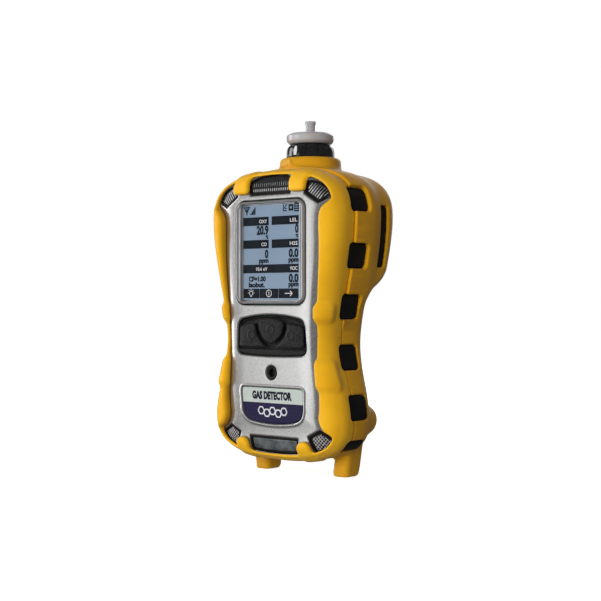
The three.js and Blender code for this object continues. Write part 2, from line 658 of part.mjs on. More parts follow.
function clipBracket() {
  const y0 = BATTERY.rearY + GAP;
  const plate = prism('y', roundedRect(0, 74, 24, 20, 2.5), y0, y0 + 1.6);
  const ear = new THREE.Shape();
  ear.moveTo(y0 + 0.5, 72).lineTo(CLIP.y + 2, 77).absarc(CLIP.y, CLIP.z, 3, -0.6, 2.2, false);
  ear.lineTo(y0 + 0.5, 83);
  const ears = onBothSides(prism('x', ear, CLIP.halfW + 0.6, CLIP.halfW + 2.6));
  return cut(union(plate, ...ears), rod('x', CLIP.pinR + 0.35, -20, 20, [CLIP.y, CLIP.z]));
}

const clipPin = () => rod('x', CLIP.pinR, -CLIP.halfW - 2.8, CLIP.halfW + 2.8,
  [CLIP.y, CLIP.z]);

// A strip of spring steel, rolled round its pin, that runs down and hooks in at its tip.
function beltClip() {
  const strip = new THREE.Shape();
  const t = 1.3;
  const route = [[CLIP.y + 2.4, CLIP.z], [25, 66], [25.2, 52], [24, 40], [19.4, 33.4], [22.4, 27]];
  strip.moveTo(...route[0]);
  strip.splineThru(route.slice(1).map(([y, z]) => new THREE.Vector2(y, z)));
  strip.lineTo(route.at(-1)[0] + t, route.at(-1)[1]);
  const back = route.slice(0, -1).reverse();
  strip.splineThru(back.map(([y, z]) => new THREE.Vector2(y + t, z)));
  const blade = prism('x', strip, -CLIP.halfW, CLIP.halfW, 5);
  const knuckle = rod('x', 3.2, -CLIP.halfW, CLIP.halfW, [CLIP.y, CLIP.z]);
  return cut(union(blade, knuckle), rod('x', CLIP.pinR + 0.35, -20, 20, [CLIP.y, CLIP.z]));
}

// ---- charging contacts and exhaust ----
function contactBlock() {
  const { y, halfW, d } = CONTACTS;
  const block = box(-halfW, halfW, y - d / 2, y + d / 2, BOTTOM_Z + 0.4, 18.6);
  const flange = box(-halfW - 2, halfW + 2, y - d / 2 - 1.5, y + d / 2 + 1.5, 17.3, 18.6);
  const wells = [-8, 0, 8].map((x) => rod('z', 2.3, 0, 11, [x, y], 2.3, 14));
  return cut(union(block, flange), ...wells);
}

const chargeContact = (x) => rod('z', 1.9, BOTTOM_Z + 0.9, 10.8, [x, CONTACTS.y], 1.9, 14);

function exhaustPort() {
  const { y, z } = EXHAUST;
  const tube = union(rod('x', 2.3, -42.6, -33, [y, z], 2.3, 12),
    rod('x', 3.8, -43, -40.9, [y, z], 3.8, 14));
  return cut(tube, rod('x', 1.1, -60, -30, [y, z], 1.1, 8));
}

// ---- electronics, sensors and pump ----
function mainBoard() {
  const plate = loft([flatRing(14, -17.4), flatRing(14, -15.8)]);
  const chips = [[-14, 40, 7, 7], [12, 74, 9, 6], [-12, 96, 5, 8]].map(([x, z, w, h]) =>
    box(x - w, x + w, -16.2, -14.4, z - h, z + h));
  return union(plate, ...chips);
}

const MANIFOLD = { halfW: 35, y0: -3, y1: 11.6, z0: 120, z1: 166 };

function sensorManifold() {
  const { halfW, y0, y1, z0, z1 } = MANIFOLD;
  const block = box(-halfW, halfW, y0, y1, z0, z1 - 7);
  const tower = box(-12, 12, y0, y1, z0, z1);
  const seats = SENSORS.map(([x, z]) => rod('y', 8.2, y1 - 2, y1 + 1, [x, z], 8.2, 16));
  return cut(union(block, tower), ...seats);
}

const SENSORS = [[-23.4, 136], [-23.4, 154.8], [0, 145], [23.4, 154.8], [23.4, 136]];
const SENSOR_LENGTH = 12;

const sensor = (i) => {
  const [x, z] = SENSORS[i];
  const y = MANIFOLD.y1 + GAP;
  return union(rod('y', 9.2, y, y + SENSOR_LENGTH, [x, z], 9.2, 20),
    rod('y', 7.8, y - 1.6, y + 1, [x, z], 7.8, 16));
};

const PUMP = { y: -3.6, z: 107 };
const pumpMotor = () => union(
  rod('x', 7.6, -30, -8, [PUMP.y, PUMP.z]),
  rod('x', 1, -9, -5.6, [PUMP.y, PUMP.z], 1, 10));
const pumpCam = () => cut(
  union(rod('x', 5.6, -7.4, -3.4, [PUMP.y, PUMP.z], 5.6, 18),
    rod('x', 2, -4, -1.6, [PUMP.y + 2.2, PUMP.z], 2, 12)),
  rod('x', 1.3, -10, -5, [PUMP.y, PUMP.z], 1.3, 10));

function pumpHead() {
  const block = box(-1, 19, PUMP.y - 8.2, PUMP.y + 8.2, PUMP.z - 7.6, PUMP.z + 7.6);
  const spigot = rod('x', 1.6, 18, 24, [PUMP.y, PUMP.z], 1.6, 10);
  return union(block, spigot);
}

// A silicone hose from the manifold's side down to the pump head.
function pumpHose() {
  const route = new THREE.CatmullRomCurve3([
    [24.4, PUMP.y, PUMP.z], [27, PUMP.y + 0.4, PUMP.z + 0.4], [29.4, PUMP.y + 2, PUMP.z + 3.4],
    [30, PUMP.y + 5, PUMP.z + 7], [30, PUMP.y + 6, PUMP.z + 9.8], [30, PUMP.y + 6, PUMP.z + 12.4],
  ].map((p) => new THREE.Vector3(...p)));
  const section = new THREE.Shape().absarc(0, 0, 1.9, 0, 2 * Math.PI);
  return solid(new THREE.ExtrudeGeometry(section, {
    steps: 10, extrudePath: route, curveSegments: 3,
  }));
}

const VIBRATOR = { x: 22, y: -11.6, z0: 44, z1: 55 };
const vibrationMotor = () => union(
  rod('z', 3, VIBRATOR.z0, VIBRATOR.z1, [VIBRATOR.x, VIBRATOR.y], 3, 16),
  rod('z', 0.6, VIBRATOR.z1 - 1, VIBRATOR.z1 + 4, [VIBRATOR.x, VIBRATOR.y], 0.6, 8));

// Half a disc on the motor's shaft, out of balance on purpose.
function vibrationWeight() {
  const { x, y, z1 } = VIBRATOR;
  const half = rod('z', 2.9, z1 + 0.5, z1 + 4.5, [x, y], 2.9, 16)
    .intersect(box(x - 4, x + 4, y - 4, y + 0.8, z1, z1 + 6));
  return cut(union(half, rod('z', 1.4, z1 + 0.5, z1 + 4.5, [x, y], 1.4, 10)),
    rod('z', 0.9, z1, z1 + 4.2, [x, y], 0.9, 8));
}

// ---- assembly ----
const rightKey = keyRight();
const topCorner = lens(topCornerShape(-GAP));
const bottomCorner = lens(bottomCornerShape(-GAP));

const PIECES = {
  front: {
    front_cover: [frontCover(), SILVER],
    front_bumper: [frontBumper(), YELLOW],
    display_bezel: [displayBezel(), SILVER],
    display_window: [displayWindow(), CLEAR],
    lcd_panel: [lcdPanel(), LCD_BLUE],
    lcd_frame: [lcdFrame(), STEEL],
    keypad_base: [keypadBase(), KEY_RUBBER],
    key_right: [rightKey, KEY_RUBBER],
    key_left: [mirrorX(rightKey), KEY_RUBBER],
    key_mode: [keyMode(), KEY_RUBBER],
    label_plate: [labelPlate(), LABEL],
    buzzer_grommet: [buzzerGrommet(), BLACK],
    buzzer: [buzzer(), BLACK],
    led_lens_top: [lens(topLensShape(-GAP)), LENS],
    led_lens_top_right: [topCorner, LENS],
    led_lens_top_left: [mirrorX(topCorner), LENS],
    led_lens_bottom: [lens(bottomLensShape(-GAP)), LENS],
    led_lens_bottom_right: [bottomCorner, LENS],
    led_lens_bottom_left: [mirrorX(bottomCorner), LENS],
    main_board: [mainBoard(), BOARD],
    housing_gasket: [housingGasket(), BLACK],
  },
  rear: {
    rear_housing: [rearHousing(), BLACK],
    rear_boot: [rearBoot(), YELLOW],
    sensor_cover: [sensorCover(), BLACK],
    contact_block: [contactBlock(), BLACK],
    exhaust_port: [exhaustPort(), BLACK],
  },
  inlet: {
    inlet_fitting: [inletFitting(), BLACK],
    inlet_nut: [inletNut(), BLACK],
    inlet_filter: [inletFilter(), FROSTED],
    inlet_seal: [inletSeal(), KEY_RUBBER],
  },
  power: {
    battery_case: [batteryCase(), BLACK],
    battery_cell_1: [batteryCell(-9.8), LCD_BLUE],
    battery_cell_2: [batteryCell(9.8), LCD_BLUE],
    battery_latch: [batteryLatch(), SILVER],
    clip_bracket: [clipBracket(), STEEL],
    clip_pin: [clipPin(), STEEL],
    belt_clip: [beltClip(), STEEL],
  },
  sampling: {
    sensor_manifold: [sensorManifold(), BLACK],
    oxygen_sensor: [sensor(0), FROSTED],
    combustible_sensor: [sensor(1), STEEL],
    carbon_monoxide_sensor: [sensor(3), FROSTED],
    hydrogen_sulfide_sensor: [sensor(4), FROSTED],
    voc_sensor: [sensor(2), STEEL],
    pump_motor: [pumpMotor(), STEEL],
    pump_cam: [pumpCam(), GOLD],
    pump_head: [pumpHead(), BLACK],
    pump_hose: [pumpHose(), SILICONE],
    vibration_motor: [vibrationMotor(), STEEL],
    vibration_weight: [vibrationWeight(), GOLD],
  },
  fasteners: {},
};

[-8, 0, 8].forEach((x, i) => {
  PIECES.rear[`charge_contact_${i + 1}`] = [chargeContact(x), GOLD];
});
SENSOR_SCREWS.forEach(([x, z], i) => {
  PIECES.fasteners[`sensor_cover_screw_${i + 1}`] =
    [screw(x, z, REAR_Y - 0.6, 2.8, 1.4, REAR_Y - 8.4), STEEL];
});
CASE_SCREWS.forEach(([x, z], i) => {
  PIECES.fasteners[`case_screw_${i + 1}`] = [screw(x, z, 11.6, 3, 1.4, -20), STEEL];
});

const detector = new THREE.Group();
for (const pieces of Object.values(PIECES)) {
  const group = new THREE.Group();
  for (const [name, [made, material]] of Object.entries(pieces)) {
    const mesh = new THREE.Mesh(geometryOf(made), material);
    mesh.name = name;
    group.add(mesh);
  }
  detector.add(group);
}

export default detector;
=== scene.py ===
"""Looks for the portable gas detector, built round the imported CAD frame.

Rubber, painted and moulded parts are carved: a signed distance field, negative inside, is
sampled on a grid and turned into a mesh. Round parts are turned, lettering is extruded, and
the remaining CAD nodes get softened edges. Shapes are in millimetres until a mesh is made.
The front faces -Y, +Z is up, and X = 0 is the plane of symmetry.
"""
import functools
import json
import math

import bmesh
import bpy
import numpy as np
import openvdb
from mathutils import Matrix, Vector


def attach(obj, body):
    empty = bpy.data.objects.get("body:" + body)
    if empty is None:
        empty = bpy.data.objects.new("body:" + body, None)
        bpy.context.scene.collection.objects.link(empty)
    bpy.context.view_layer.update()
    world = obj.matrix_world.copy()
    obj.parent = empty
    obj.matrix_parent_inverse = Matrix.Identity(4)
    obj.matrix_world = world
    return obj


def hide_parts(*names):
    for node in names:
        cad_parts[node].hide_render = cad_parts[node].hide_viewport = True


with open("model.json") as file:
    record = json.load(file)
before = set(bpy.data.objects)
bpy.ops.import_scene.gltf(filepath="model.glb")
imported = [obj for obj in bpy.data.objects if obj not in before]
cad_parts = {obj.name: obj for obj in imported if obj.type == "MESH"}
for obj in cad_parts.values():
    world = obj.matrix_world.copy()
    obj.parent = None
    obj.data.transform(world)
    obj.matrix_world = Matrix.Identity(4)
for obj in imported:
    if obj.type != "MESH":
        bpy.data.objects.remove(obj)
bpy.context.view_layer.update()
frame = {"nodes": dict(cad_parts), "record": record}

MM = 0.001
CURVE_STEPS = 10  # straight pieces to a curve of an outline
BODY = "detector"  # the root body of the frame

# ---- the shared shape of the body, as in the CAD model ----
TOP_Z, BOTTOM_Z = 176.8, 8.8
SHOULDER, WAIST, HIP = (48.25, 150.0), (39.0, 80.0), (48.0, 32.0)
SEAM_Y, SEAM_GAP = -11.0, 0.15
SLAB_REAR_Y, REAR_Y = 13.0, 33.0
RUBBER, WALL, GAP = 3.2, 2.4, 0.3  # thicknesses, and the play between pieces
COVER_INSET = 3.5  # the silver cover's edge, in from the outline
FACE_Y = -28.2
INLET_Y, COLLAR_TOP_Z = 8.5, 185
PAD_Y = (-13.5, 2.0)
PADS = [(158.5, 14.4), (126.2, 14), (97.5, 14), (69, 14), (41, 14.2), (18.4, 9)]
CASE_SCREWS, SCREW_WELL_R = [(31.2, 84), (36.8, 38)], 3.6
EXHAUST_Y, EXHAUST_Z, EXHAUST_R = -2, 112.5, 4.4
BUZZER_Z = 59.7
DISPLAY_Z = 128.7
SENSOR_Z = 144
LABEL_SPLIT_Z = 42.3  # white above, navy below


# ---- distance fields ----
class Grid:
    """The sample points of a box, as arrays that broadcast together."""

    def __init__(self, low, high, step):
        self.low, self.step = np.array(low, float), step
        axes = [np.arange(a, b + step, step, dtype=np.float32) for a, b in zip(low, high)]
        self.shape = tuple(len(a) for a in axes)
        self.x = axes[0][:, None, None]
        self.y = axes[1][None, :, None]
        self.z = axes[2][None, None, :]


def blend_min(a, b, k):
    """Union with a soft crease about k wide."""
    h = np.clip(0.5 + 0.5 * (b - a) / k, 0, 1)
    return b + (a - b) * h - k * h * (1 - h)


def within(*fields):
    """Intersection with sharp edges."""
    return functools.reduce(np.maximum, fields)


def either(*fields):
    """Union with sharp edges."""
    return functools.reduce(np.minimum, fields)


def bead(distance, height, width):
    """A rounded ridge along the line where the distance is zero."""
    return height * np.exp(-((distance / width) ** 2))


def round_max(a, b, r):
    """Intersection with its edge rounded to radius r."""
    corner = np.hypot(np.maximum(a + r, 0), np.maximum(b + r, 0))
    return np.minimum(np.maximum(a, b), -r) + corner


def round_min(a, b, r):
    """Union with its inner corner filled to radius r."""
    return -round_max(-a, -b, r)


def rounded_rect(u, v, centre, size, r):
    """Distance to a rectangle with corners of radius r."""
    du = np.abs(u - centre[0]) - size[0] / 2 + r
    dv = np.abs(v - centre[1]) - size[1] / 2 + r
    return np.hypot(np.maximum(du, 0), np.maximum(dv, 0)) + np.minimum(np.maximum(du, dv), 0) - r


def polygon(u, v, points):
    """Distance to a closed outline."""
    u, v = np.broadcast_arrays(u, v)
    nearest = np.full(u.shape, np.inf, np.float32)
    inside = np.zeros(u.shape, bool)
    for (ax, ay), (bx, by) in zip(points, np.roll(points, -1, axis=0)):
        dx, dy = bx - ax, by - ay
        t = np.clip(((u - ax) * dx + (v - ay) * dy) / (dx * dx + dy * dy), 0, 1)
        nearest = np.minimum(nearest, (u - ax - t * dx) ** 2 + (v - ay - t * dy) ** 2)
        if dy:
            inside ^= ((ay > v) != (by > v)) & (u < ax + (v - ay) * dx / dy)
    return np.where(inside, -1, 1) * np.sqrt(nearest)


def bezier(controls, n):
    """n points along a bezier of any degree, without its first point."""
    t = np.linspace(0, 1, n + 1)[1:, None]
    level = [np.array(c, float) for c in controls]
    while len(level) > 1:
        level = [a + (b - a) * t for a, b in zip(level, level[1:])]
    return level[0]


def path(start, *segments):
    """A closed outline: each segment is the further control points of a line or bezier."""
    points = [np.array([start], float)]
    for controls in segments:
        steps = 1 if len(controls) == 1 else CURVE_STEPS
        points.append(bezier([points[-1][-1], *controls], steps))
    outline = np.concatenate(points)
    return outline[:-1] if np.allclose(outline[0], outline[-1]) else outline


# ---- the hourglass outline ----
class Outline:
    """The body seen from the front: the right half of it, from the top centre down."""

    def __init__(self, per_curve=60):
        curves = [
            [(0, TOP_Z), (34, TOP_Z), (SHOULDER[0], 170), SHOULDER],
            [SHOULDER, (SHOULDER[0], 122), (WAIST[0], 102), WAIST],
            [WAIST, (WAIST[0], 62), (HIP[0], 50), HIP],
            [HIP, (HIP[0], 13.5), (30, BOTTOM_Z), (0, BOTTOM_Z)],
        ]
        rows = [np.array([curves[0][0]], float)]
        rows += [bezier(c, per_curve) for c in curves]
        self.points = np.concatenate(rows)
        steps = np.hypot(*np.diff(self.points, axis=0).T)
        self.along = np.concatenate([[0], np.cumsum(steps)])

    def at_height(self, z):
        """Distance along the outline to the point at height z."""
        return float(np.interp(-z, -self.points[:, 1], self.along))

    def measure(self, x, z):
        """How far inside the outline each point is, and where along it the nearest point is."""
        px, pz = np.broadcast_arrays(np.abs(x), z)
        nearest = np.full(px.shape, np.inf, np.float32)
        along = np.zeros(px.shape, np.float32)
        for (ax, az), (bx, bz), start in zip(self.points, self.points[1:], self.along):
            dx, dz = bx - ax, bz - az
            length = math.hypot(dx, dz)
            t = np.clip(((px - ax) * dx + (pz - az) * dz) / length**2, 0, 1)
            d = (px - ax - t * dx) ** 2 + (pz - az - t * dz) ** 2
            closer = d < nearest
            nearest = np.where(closer, d, nearest)
            along = np.where(closer, start + t * length, along)
        half = np.interp(pz, self.points[::-1, 1], self.points[::-1, 0])
        inside = (px < half) & (pz > BOTTOM_Z) & (pz < TOP_Z)
        return np.where(inside, 1, -1) * np.sqrt(nearest), along


OUTLINE = Outline()


def lean(z):
    """The front falls back 4 mm towards the bottom, and 1.2 mm at the very top."""
    low = 4 * (np.clip(105 - z, 0, None) / 96) ** 1.5
    return low + 1.2 * (np.clip(z - 150, 0, None) / 27) ** 2


def upright(grid):
    """The grid's y with the lean of the front taken out."""
    return grid.y - lean(grid.z) * np.clip((-grid.y - 12) / 10, 0, 1)


# ---- turning fields into pieces ----
def add_piece(name, mesh, material, replaced=(), body=BODY):
    """Puts a mesh in the scene, riding on its body and standing for the CAD nodes replaced."""
    mesh.materials.append(material)
    piece = bpy.data.objects.new(name, mesh)
    bpy.context.scene.collection.objects.link(piece)
    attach(piece, body)
    if replaced:
        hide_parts(*replaced)
    return piece


def carve(name, grid, field, material, replaced=(), body=BODY, keep=1.0):
    """Makes the surface where the field is zero into a piece. keep is the share of faces kept."""
    limit = 3 * grid.step
    values = np.clip(np.broadcast_to(field, grid.shape), -limit, limit).astype(np.float32)
    vdb = openvdb.FloatGrid(limit)
    vdb.copyFromArray(np.ascontiguousarray(values))
    points, quads = vdb.convertToQuads()
    mesh = bpy.data.meshes.new(name)
    mesh.from_pydata(((points * grid.step + grid.low) * MM).tolist(), [], quads[:, ::-1].tolist())
    mesh.polygons.foreach_set("use_smooth", np.ones(len(quads), bool))
    piece = add_piece(name, mesh, material, replaced, body)
    if keep < 1:
        piece.modifiers.new("fewer_faces", "DECIMATE").ratio = keep


def turned(name, profile, centre, material, replaced=(), body=BODY, sides=96, wave=None):
    """A solid turned about Z from [radius, z] pairs. wave(angle, z) scales the radius."""
    rows = np.array(profile, float)
    angles = np.arange(sides) * 2 * math.pi / sides
    vertices, faces = [], []
    for r, z in rows:
        scale = np.ones(sides) if wave is None else wave(angles, z)
        for a, s in zip(angles, scale):
            vertices.append(((centre[0] + r * s * math.cos(a)) * MM,
                             (centre[1] + r * s * math.sin(a)) * MM, z * MM))
    for i in range(len(rows) - 1):
        for k in range(sides):
            n = (k + 1) % sides
            faces.append((i * sides + k, i * sides + n, (i + 1) * sides + n, (i + 1) * sides + k))
    mesh = bpy.data.meshes.new(name)
    mesh.from_pydata(vertices, [], faces)
    shape = bmesh.new()
    shape.from_mesh(mesh)
    bmesh.ops.remove_doubles(shape, verts=shape.verts, dist=1e-6)
    bmesh.ops.recalc_face_normals(shape, faces=shape.faces)
    shape.to_mesh(mesh)
    shape.free()
    piece = add_piece(name, mesh, material, replaced, body)
    crisp_edges(mesh)
    return piece


def crisp_edges(mesh, angle=32):
    """Shades smooth, but for edges sharper than the angle in degrees."""
    edges = bmesh.new()
    edges.from_mesh(mesh)
    sharp = [len(e.link_faces) == 2 and e.calc_face_angle(0) > math.radians(angle)
             for e in edges.edges]
    edges.free()
    marks = mesh.attributes.get("sharp_edge") or mesh.attributes.new(
        "sharp_edge", "BOOLEAN", "EDGE")
    marks.data.foreach_set("value", sharp)
    mesh.polygons.foreach_set("use_smooth", np.ones(len(mesh.polygons), bool))


# ---- materials ----
def nodes_of(name):
    """A new material, its node tree and its shader."""
    material = bpy.data.materials.new(name)
    material.use_nodes = True
    tree = material.node_tree
    return material, tree, tree.nodes["Principled BSDF"]


def noise(tree, scale, detail=2.0, stretch=(1, 1, 1), kind="ShaderNodeTexNoise"):
    """A noise texture in object space, scale in features per metre."""
    at = tree.nodes.new("ShaderNodeTexCoord")
    place = tree.nodes.new("ShaderNodeMapping")
    place.inputs["Scale"].default_value = stretch
    texture = tree.nodes.new(kind)
    texture.inputs["Scale"].default_value = scale
    if kind == "ShaderNodeTexNoise":
        texture.inputs["Detail"].default_value = detail
    tree.links.new(at.outputs["Object"], place.inputs["Vector"])
    tree.links.new(place.outputs["Vector"], texture.inputs["Vector"])
    return texture.outputs[0]


def ramp(tree, source, stops):
    """A colour ramp from (position, colour) stops. A colour of one number is a grey."""
    node = tree.nodes.new("ShaderNodeValToRGB")
    elements = node.color_ramp.elements
    while len(elements) < len(stops):
        elements.new(0.5)
    for element, (position, colour) in zip(elements, stops):
        element.position = position
        element.color = (*colour, 1) if len(colour) == 3 else (*[colour[0]] * 3, 1)
    tree.links.new(source, node.inputs["Fac"])
    return node.outputs["Color"]


def bump(tree, shader, source, strength, distance):
    """Raises the surface by a texture: distance is in millimetres."""
    node = tree.nodes.new("ShaderNodeBump")
    node.inputs["Strength"].default_value = strength
    node.inputs["Distance"].default_value = distance * MM
    tree.links.new(source, node.inputs["Height"])
    tree.links.new(node.outputs["Normal"], shader.inputs["Normal"])


def moulded(name, dark, light, rough=(0.4, 0.55), grain=1400, depth=0.05, cloud=60,
            stretch=(1, 1, 1), **sockets):
    """A moulded, painted or metal finish: clouded colour, uneven gloss and a fine grain."""
    material, tree, shader = nodes_of(name)
    clouds = noise(tree, cloud, 3)
    tree.links.new(ramp(tree, clouds, [(0.35, dark), (0.65, light)]),
                   shader.inputs["Base Color"])
    fine = noise(tree, grain, 3, stretch)
    tree.links.new(ramp(tree, fine, [(0.3, (rough[0],)), (0.7, (rough[1],))]),
                   shader.inputs["Roughness"])
    bump(tree, shader, fine, 0.5, depth)
    for socket, value in sockets.items():
        shader.inputs[socket.replace("_", " ")].default_value = value
    return material


def silver_paint():
    """Metallic paint: bright flakes over a grey ground, under a thin coat."""
    material, tree, shader = nodes_of("silver_paint")
    flakes = noise(tree, 2600, kind="ShaderNodeTexVoronoi")
    speckle = noise(tree, 1500, 4)
    tree.links.new(ramp(tree, speckle, [(0.3, (0.37, 0.368, 0.365)), (0.7, (0.48, 0.477, 0.473))]),
                   shader.inputs["Base Color"])
    tree.links.new(ramp(tree, flakes, [(0.2, (0.25,)), (0.8, (0.35,))]),
                   shader.inputs["Roughness"])
    bump(tree, shader, speckle, 0.3, 0.04)
    shader.inputs["Metallic"].default_value = 0.85
    shader.inputs["Coat Weight"].default_value = 0.25
    shader.inputs["Coat Roughness"].default_value = 0.25
    return material


def window_glass():
    """A coated pane: straight through, with a reflection only at a glancing angle."""
    material, tree, shader = nodes_of("display_glass")
    clear = tree.nodes.new("ShaderNodeBsdfTransparent")
    gloss = tree.nodes.new("ShaderNodeBsdfGlossy")
    smear = noise(tree, 120, 3)
    tree.links.new(ramp(tree, smear, [(0.3, (0.02,)), (0.7, (0.05,))]), gloss.inputs["Roughness"])
    glance = tree.nodes.new("ShaderNodeLayerWeight")
    share = ramp(tree, glance.outputs["Facing"], [(0, (0,)), (0.35, (0,)), (1, (0.5,))])
    mix = tree.nodes.new("ShaderNodeMixShader")
    tree.links.new(share, mix.inputs[0])
    tree.links.new(clear.outputs[0], mix.inputs[1])
    tree.links.new(gloss.outputs[0], mix.inputs[2])
    tree.links.new(mix.outputs[0], tree.nodes["Material Output"].inputs["Surface"])
    tree.nodes.remove(shader)
    return material


def split_label():
    """Label film: pale above the dividing line and navy below it."""
    material, tree, shader = nodes_of("label_film")
    at = tree.nodes.new("ShaderNodeTexCoord")
    axes = tree.nodes.new("ShaderNodeSeparateXYZ")
    above = tree.nodes.new("ShaderNodeMath")
    above.operation = "GREATER_THAN"
    above.inputs[1].default_value = LABEL_SPLIT_Z * MM
    tree.links.new(at.outputs["Object"], axes.inputs[0])
    tree.links.new(axes.outputs["Z"], above.inputs[0])
    print_grain = noise(tree, 900, 2)
    pale = ramp(tree, print_grain, [(0.3, (0.48, 0.53, 0.49)), (0.7, (0.54, 0.59, 0.545))])
    navy = ramp(tree, print_grain, [(0.3, (0.012, 0.01, 0.04)), (0.7, (0.02, 0.016, 0.055))])
    mix = tree.nodes.new("ShaderNodeMix")
    mix.data_type = "RGBA"
    tree.links.new(above.outputs[0], mix.inputs["Factor"])
    tree.links.new(navy, mix.inputs["A"])
    tree.links.new(pale, mix.inputs["B"])
    tree.links.new(mix.outputs["Result"], shader.inputs["Base Color"])
    shader.inputs["Roughness"].default_value = 0.4
    shader.inputs["Specular IOR Level"].default_value = 0.12
    bump(tree, shader, print_grain, 0.2, 0.02)
    return material


def yellow_rubber(name, dark, light):
    return moulded(name, dark, light, (0.45, 0.62), grain=1900, depth=0.07, cloud=45,
                   Sheen_Weight=0.06, Sheen_Roughness=0.4, Specular_IOR_Level=0.3,
                   Subsurface_Weight=0.15, Subsurface_Scale=0.004)


YELLOW = yellow_rubber("yellow_rubber", (0.85, 0.43, 0.01), (0.94, 0.5, 0.015))
# The boot's rubber is a slightly deeper orange than the front's, and darker still as painted shade
# of the boot's shaded sides.
YELLOW_SHADED = yellow_rubber("yellow_rubber_painted_shade", (0.62, 0.295, 0.006), (0.7, 0.345, 0.01))
SILVER = silver_paint()
BEZEL = moulded("bezel_paint", (0.46, 0.46, 0.47), (0.54, 0.54, 0.55), (0.28, 0.38), grain=2200,
                depth=0.01, Metallic=0.7)
BLACK = moulded("black_plastic", (0.008, 0.008, 0.009), (0.014, 0.014, 0.015), (0.42, 0.6),
                grain=1600, depth=0.08, Specular_IOR_Level=0.3)
GLOSS_BLACK = moulded("gloss_black", (0.006, 0.006, 0.007), (0.01, 0.01, 0.011), (0.12, 0.22),
                      grain=900, depth=0.03)
PAD_BLACK = moulded("grip_black", (0.004,), (0.009, 0.008, 0.008), (0.5, 0.7), grain=1500,
                    depth=0.1, Specular_IOR_Level=0.15)
KEY_BLACK = moulded("key_rubber", (0.003,), (0.018,), (0.4, 0.65), grain=1100, depth=0.25,
                    cloud=900, Specular_IOR_Level=0.2)
GLASS = window_glass()
LABEL = split_label()
LENS = moulded("alarm_lens", (0.012, 0.012, 0.013), (0.022, 0.022, 0.024), (0.16, 0.26),
               grain=700, depth=0.03, Specular_IOR_Level=0.25)
LENS_GREY = moulded("alarm_lens_grey", (0.04, 0.047, 0.05), (0.13, 0.145, 0.15), (0.16, 0.26),
                    grain=500, depth=0.03, cloud=200, Coat_Weight=0.2, Coat_Roughness=0.1)
# Pale ribs on the dark lenses: painted highlight, for the glints along the ribs of the clear light
# pipes.
LENS_RIB_HIGHLIGHT = moulded("alarm_lens_rib_painted_highlight", (0.4,), (0.6,), (0.2, 0.3), grain=900, depth=0.02,
                   cloud=400)
FROSTED = moulded("filter_plastic", (0.42, 0.41, 0.42), (0.5, 0.49, 0.5), (0.16, 0.26),
                  grain=500, depth=0.02, Subsurface_Weight=0.4, Subsurface_Scale=0.004)
STEEL = moulded("brushed_steel", (0.46, 0.465, 0.47), (0.56, 0.56, 0.565), (0.24, 0.42),
                grain=900, depth=0.03, stretch=(0.06, 1, 1), Metallic=1.0)
DARK_STEEL = moulded("screw_steel", (0.10, 0.10, 0.105), (0.17, 0.17, 0.175), (0.3, 0.45),
                     grain=1600, depth=0.03, Metallic=0.9)
GOLD = moulded("gold_contact", (0.78, 0.5, 0.16), (0.88, 0.6, 0.22), (0.18, 0.3), grain=1500,
               depth=0.02, Metallic=1.0)
INK = moulded("lcd_ink", (0.006, 0.009, 0.013), (0.011, 0.015, 0.02), (0.5, 0.6), grain=1800,
              depth=0.01, Specular_IOR_Level=0.1)
PRINT = moulded("white_print", (0.66, 0.67, 0.68), (0.76, 0.77, 0.78), (0.45, 0.6), grain=1500,
                depth=0.02, Specular_IOR_Level=0.2)
NAVY = moulded("navy_print", (0.008, 0.008, 0.02), (0.014, 0.013, 0.03), (0.45, 0.6),
               grain=1500, depth=0.02, Specular_IOR_Level=0.15)
LCD = moulded("lcd_glass", (0.215, 0.29, 0.385), (0.25, 0.33, 0.43), (0.5, 0.6), grain=1200,
              depth=0.01, cloud=20, Specular_IOR_Level=0.15)
BOARD = moulded("circuit_board", (0.01, 0.08, 0.03), (0.02, 0.13, 0.05), (0.3, 0.45),
                grain=1500, depth=0.03)
PALE = moulded("sensor_plastic", (0.55, 0.55, 0.53), (0.65, 0.65, 0.62), (0.4, 0.55))
CELL = moulded("battery_wrap", (0.06, 0.16, 0.36), (0.08, 0.2, 0.42), (0.25, 0.4))
SILICONE = moulded("silicone", (0.55, 0.52, 0.46), (0.64, 0.6, 0.53), (0.35, 0.5))


# ---- the yellow bumper on the front ----
def waistward(z):
    """0 at the waist, rising to 1 near either end."""
    half_span = np.where(z > WAIST[1], 62, 44)
    return np.clip(np.abs(z - WAIST[1]) / half_span, 0, 1)


def cheek_width(z):
    """How far the bumper's sides reach in over the cover."""
    spread = np.where(z > WAIST[1], 5.8, 7.4)
    power = np.where(z > WAIST[1], 1.3, 1.6)
    return 5.4 + spread * waistward(z) ** power


def cover_opening(grid, inset):
    """Where the bumper leaves the silver cover open: wide round the lenses, narrow between
    the cheeks. Negative inside the opening."""
    on_rim = np.where(grid.z > WAIST[1], 3.9, 4.3) - inset
    on_cheek = cheek_width(grid.z) - inset
    past_ends = within(grid.z - 156, 26.5 - grid.z)
    return round_max(on_rim, round_min(-past_ends, on_cheek, 9), 3)


def rolled(inset, y, out=0.0, forward=0.0):
    """The bumper's outer skin rolls from its side to its crest as a quarter ellipse."""
    reach, depth, side_y = 9.5, 13.9, -17.0
    u = np.maximum(reach - inset - out, 0) / reach
    v = np.maximum(side_y - y - forward, 0) / depth
    return (np.hypot(u, v) - 1) * reach


def cover_skin(grid, inset):
    """y of the silver cover's face: crowned, then rolling back beside the rubber."""
    flat_half, crown_reach, roll_reach, slope_under_rubber = 25, 14, 5, 0.75
    near_rubber = cover_opening(grid, inset)
    crown = 0.0052 * np.clip(near_rubber + crown_reach, 0, crown_reach) ** 2
    crown = crown + 0.0065 * np.clip(np.abs(grid.x) - flat_half, 0, None) ** 2
    roll = 0.0443 * np.clip(near_rubber + roll_reach, 0, roll_reach) ** 2.18
    return FACE_Y + crown + roll + slope_under_rubber * np.clip(near_rubber, 0, None)


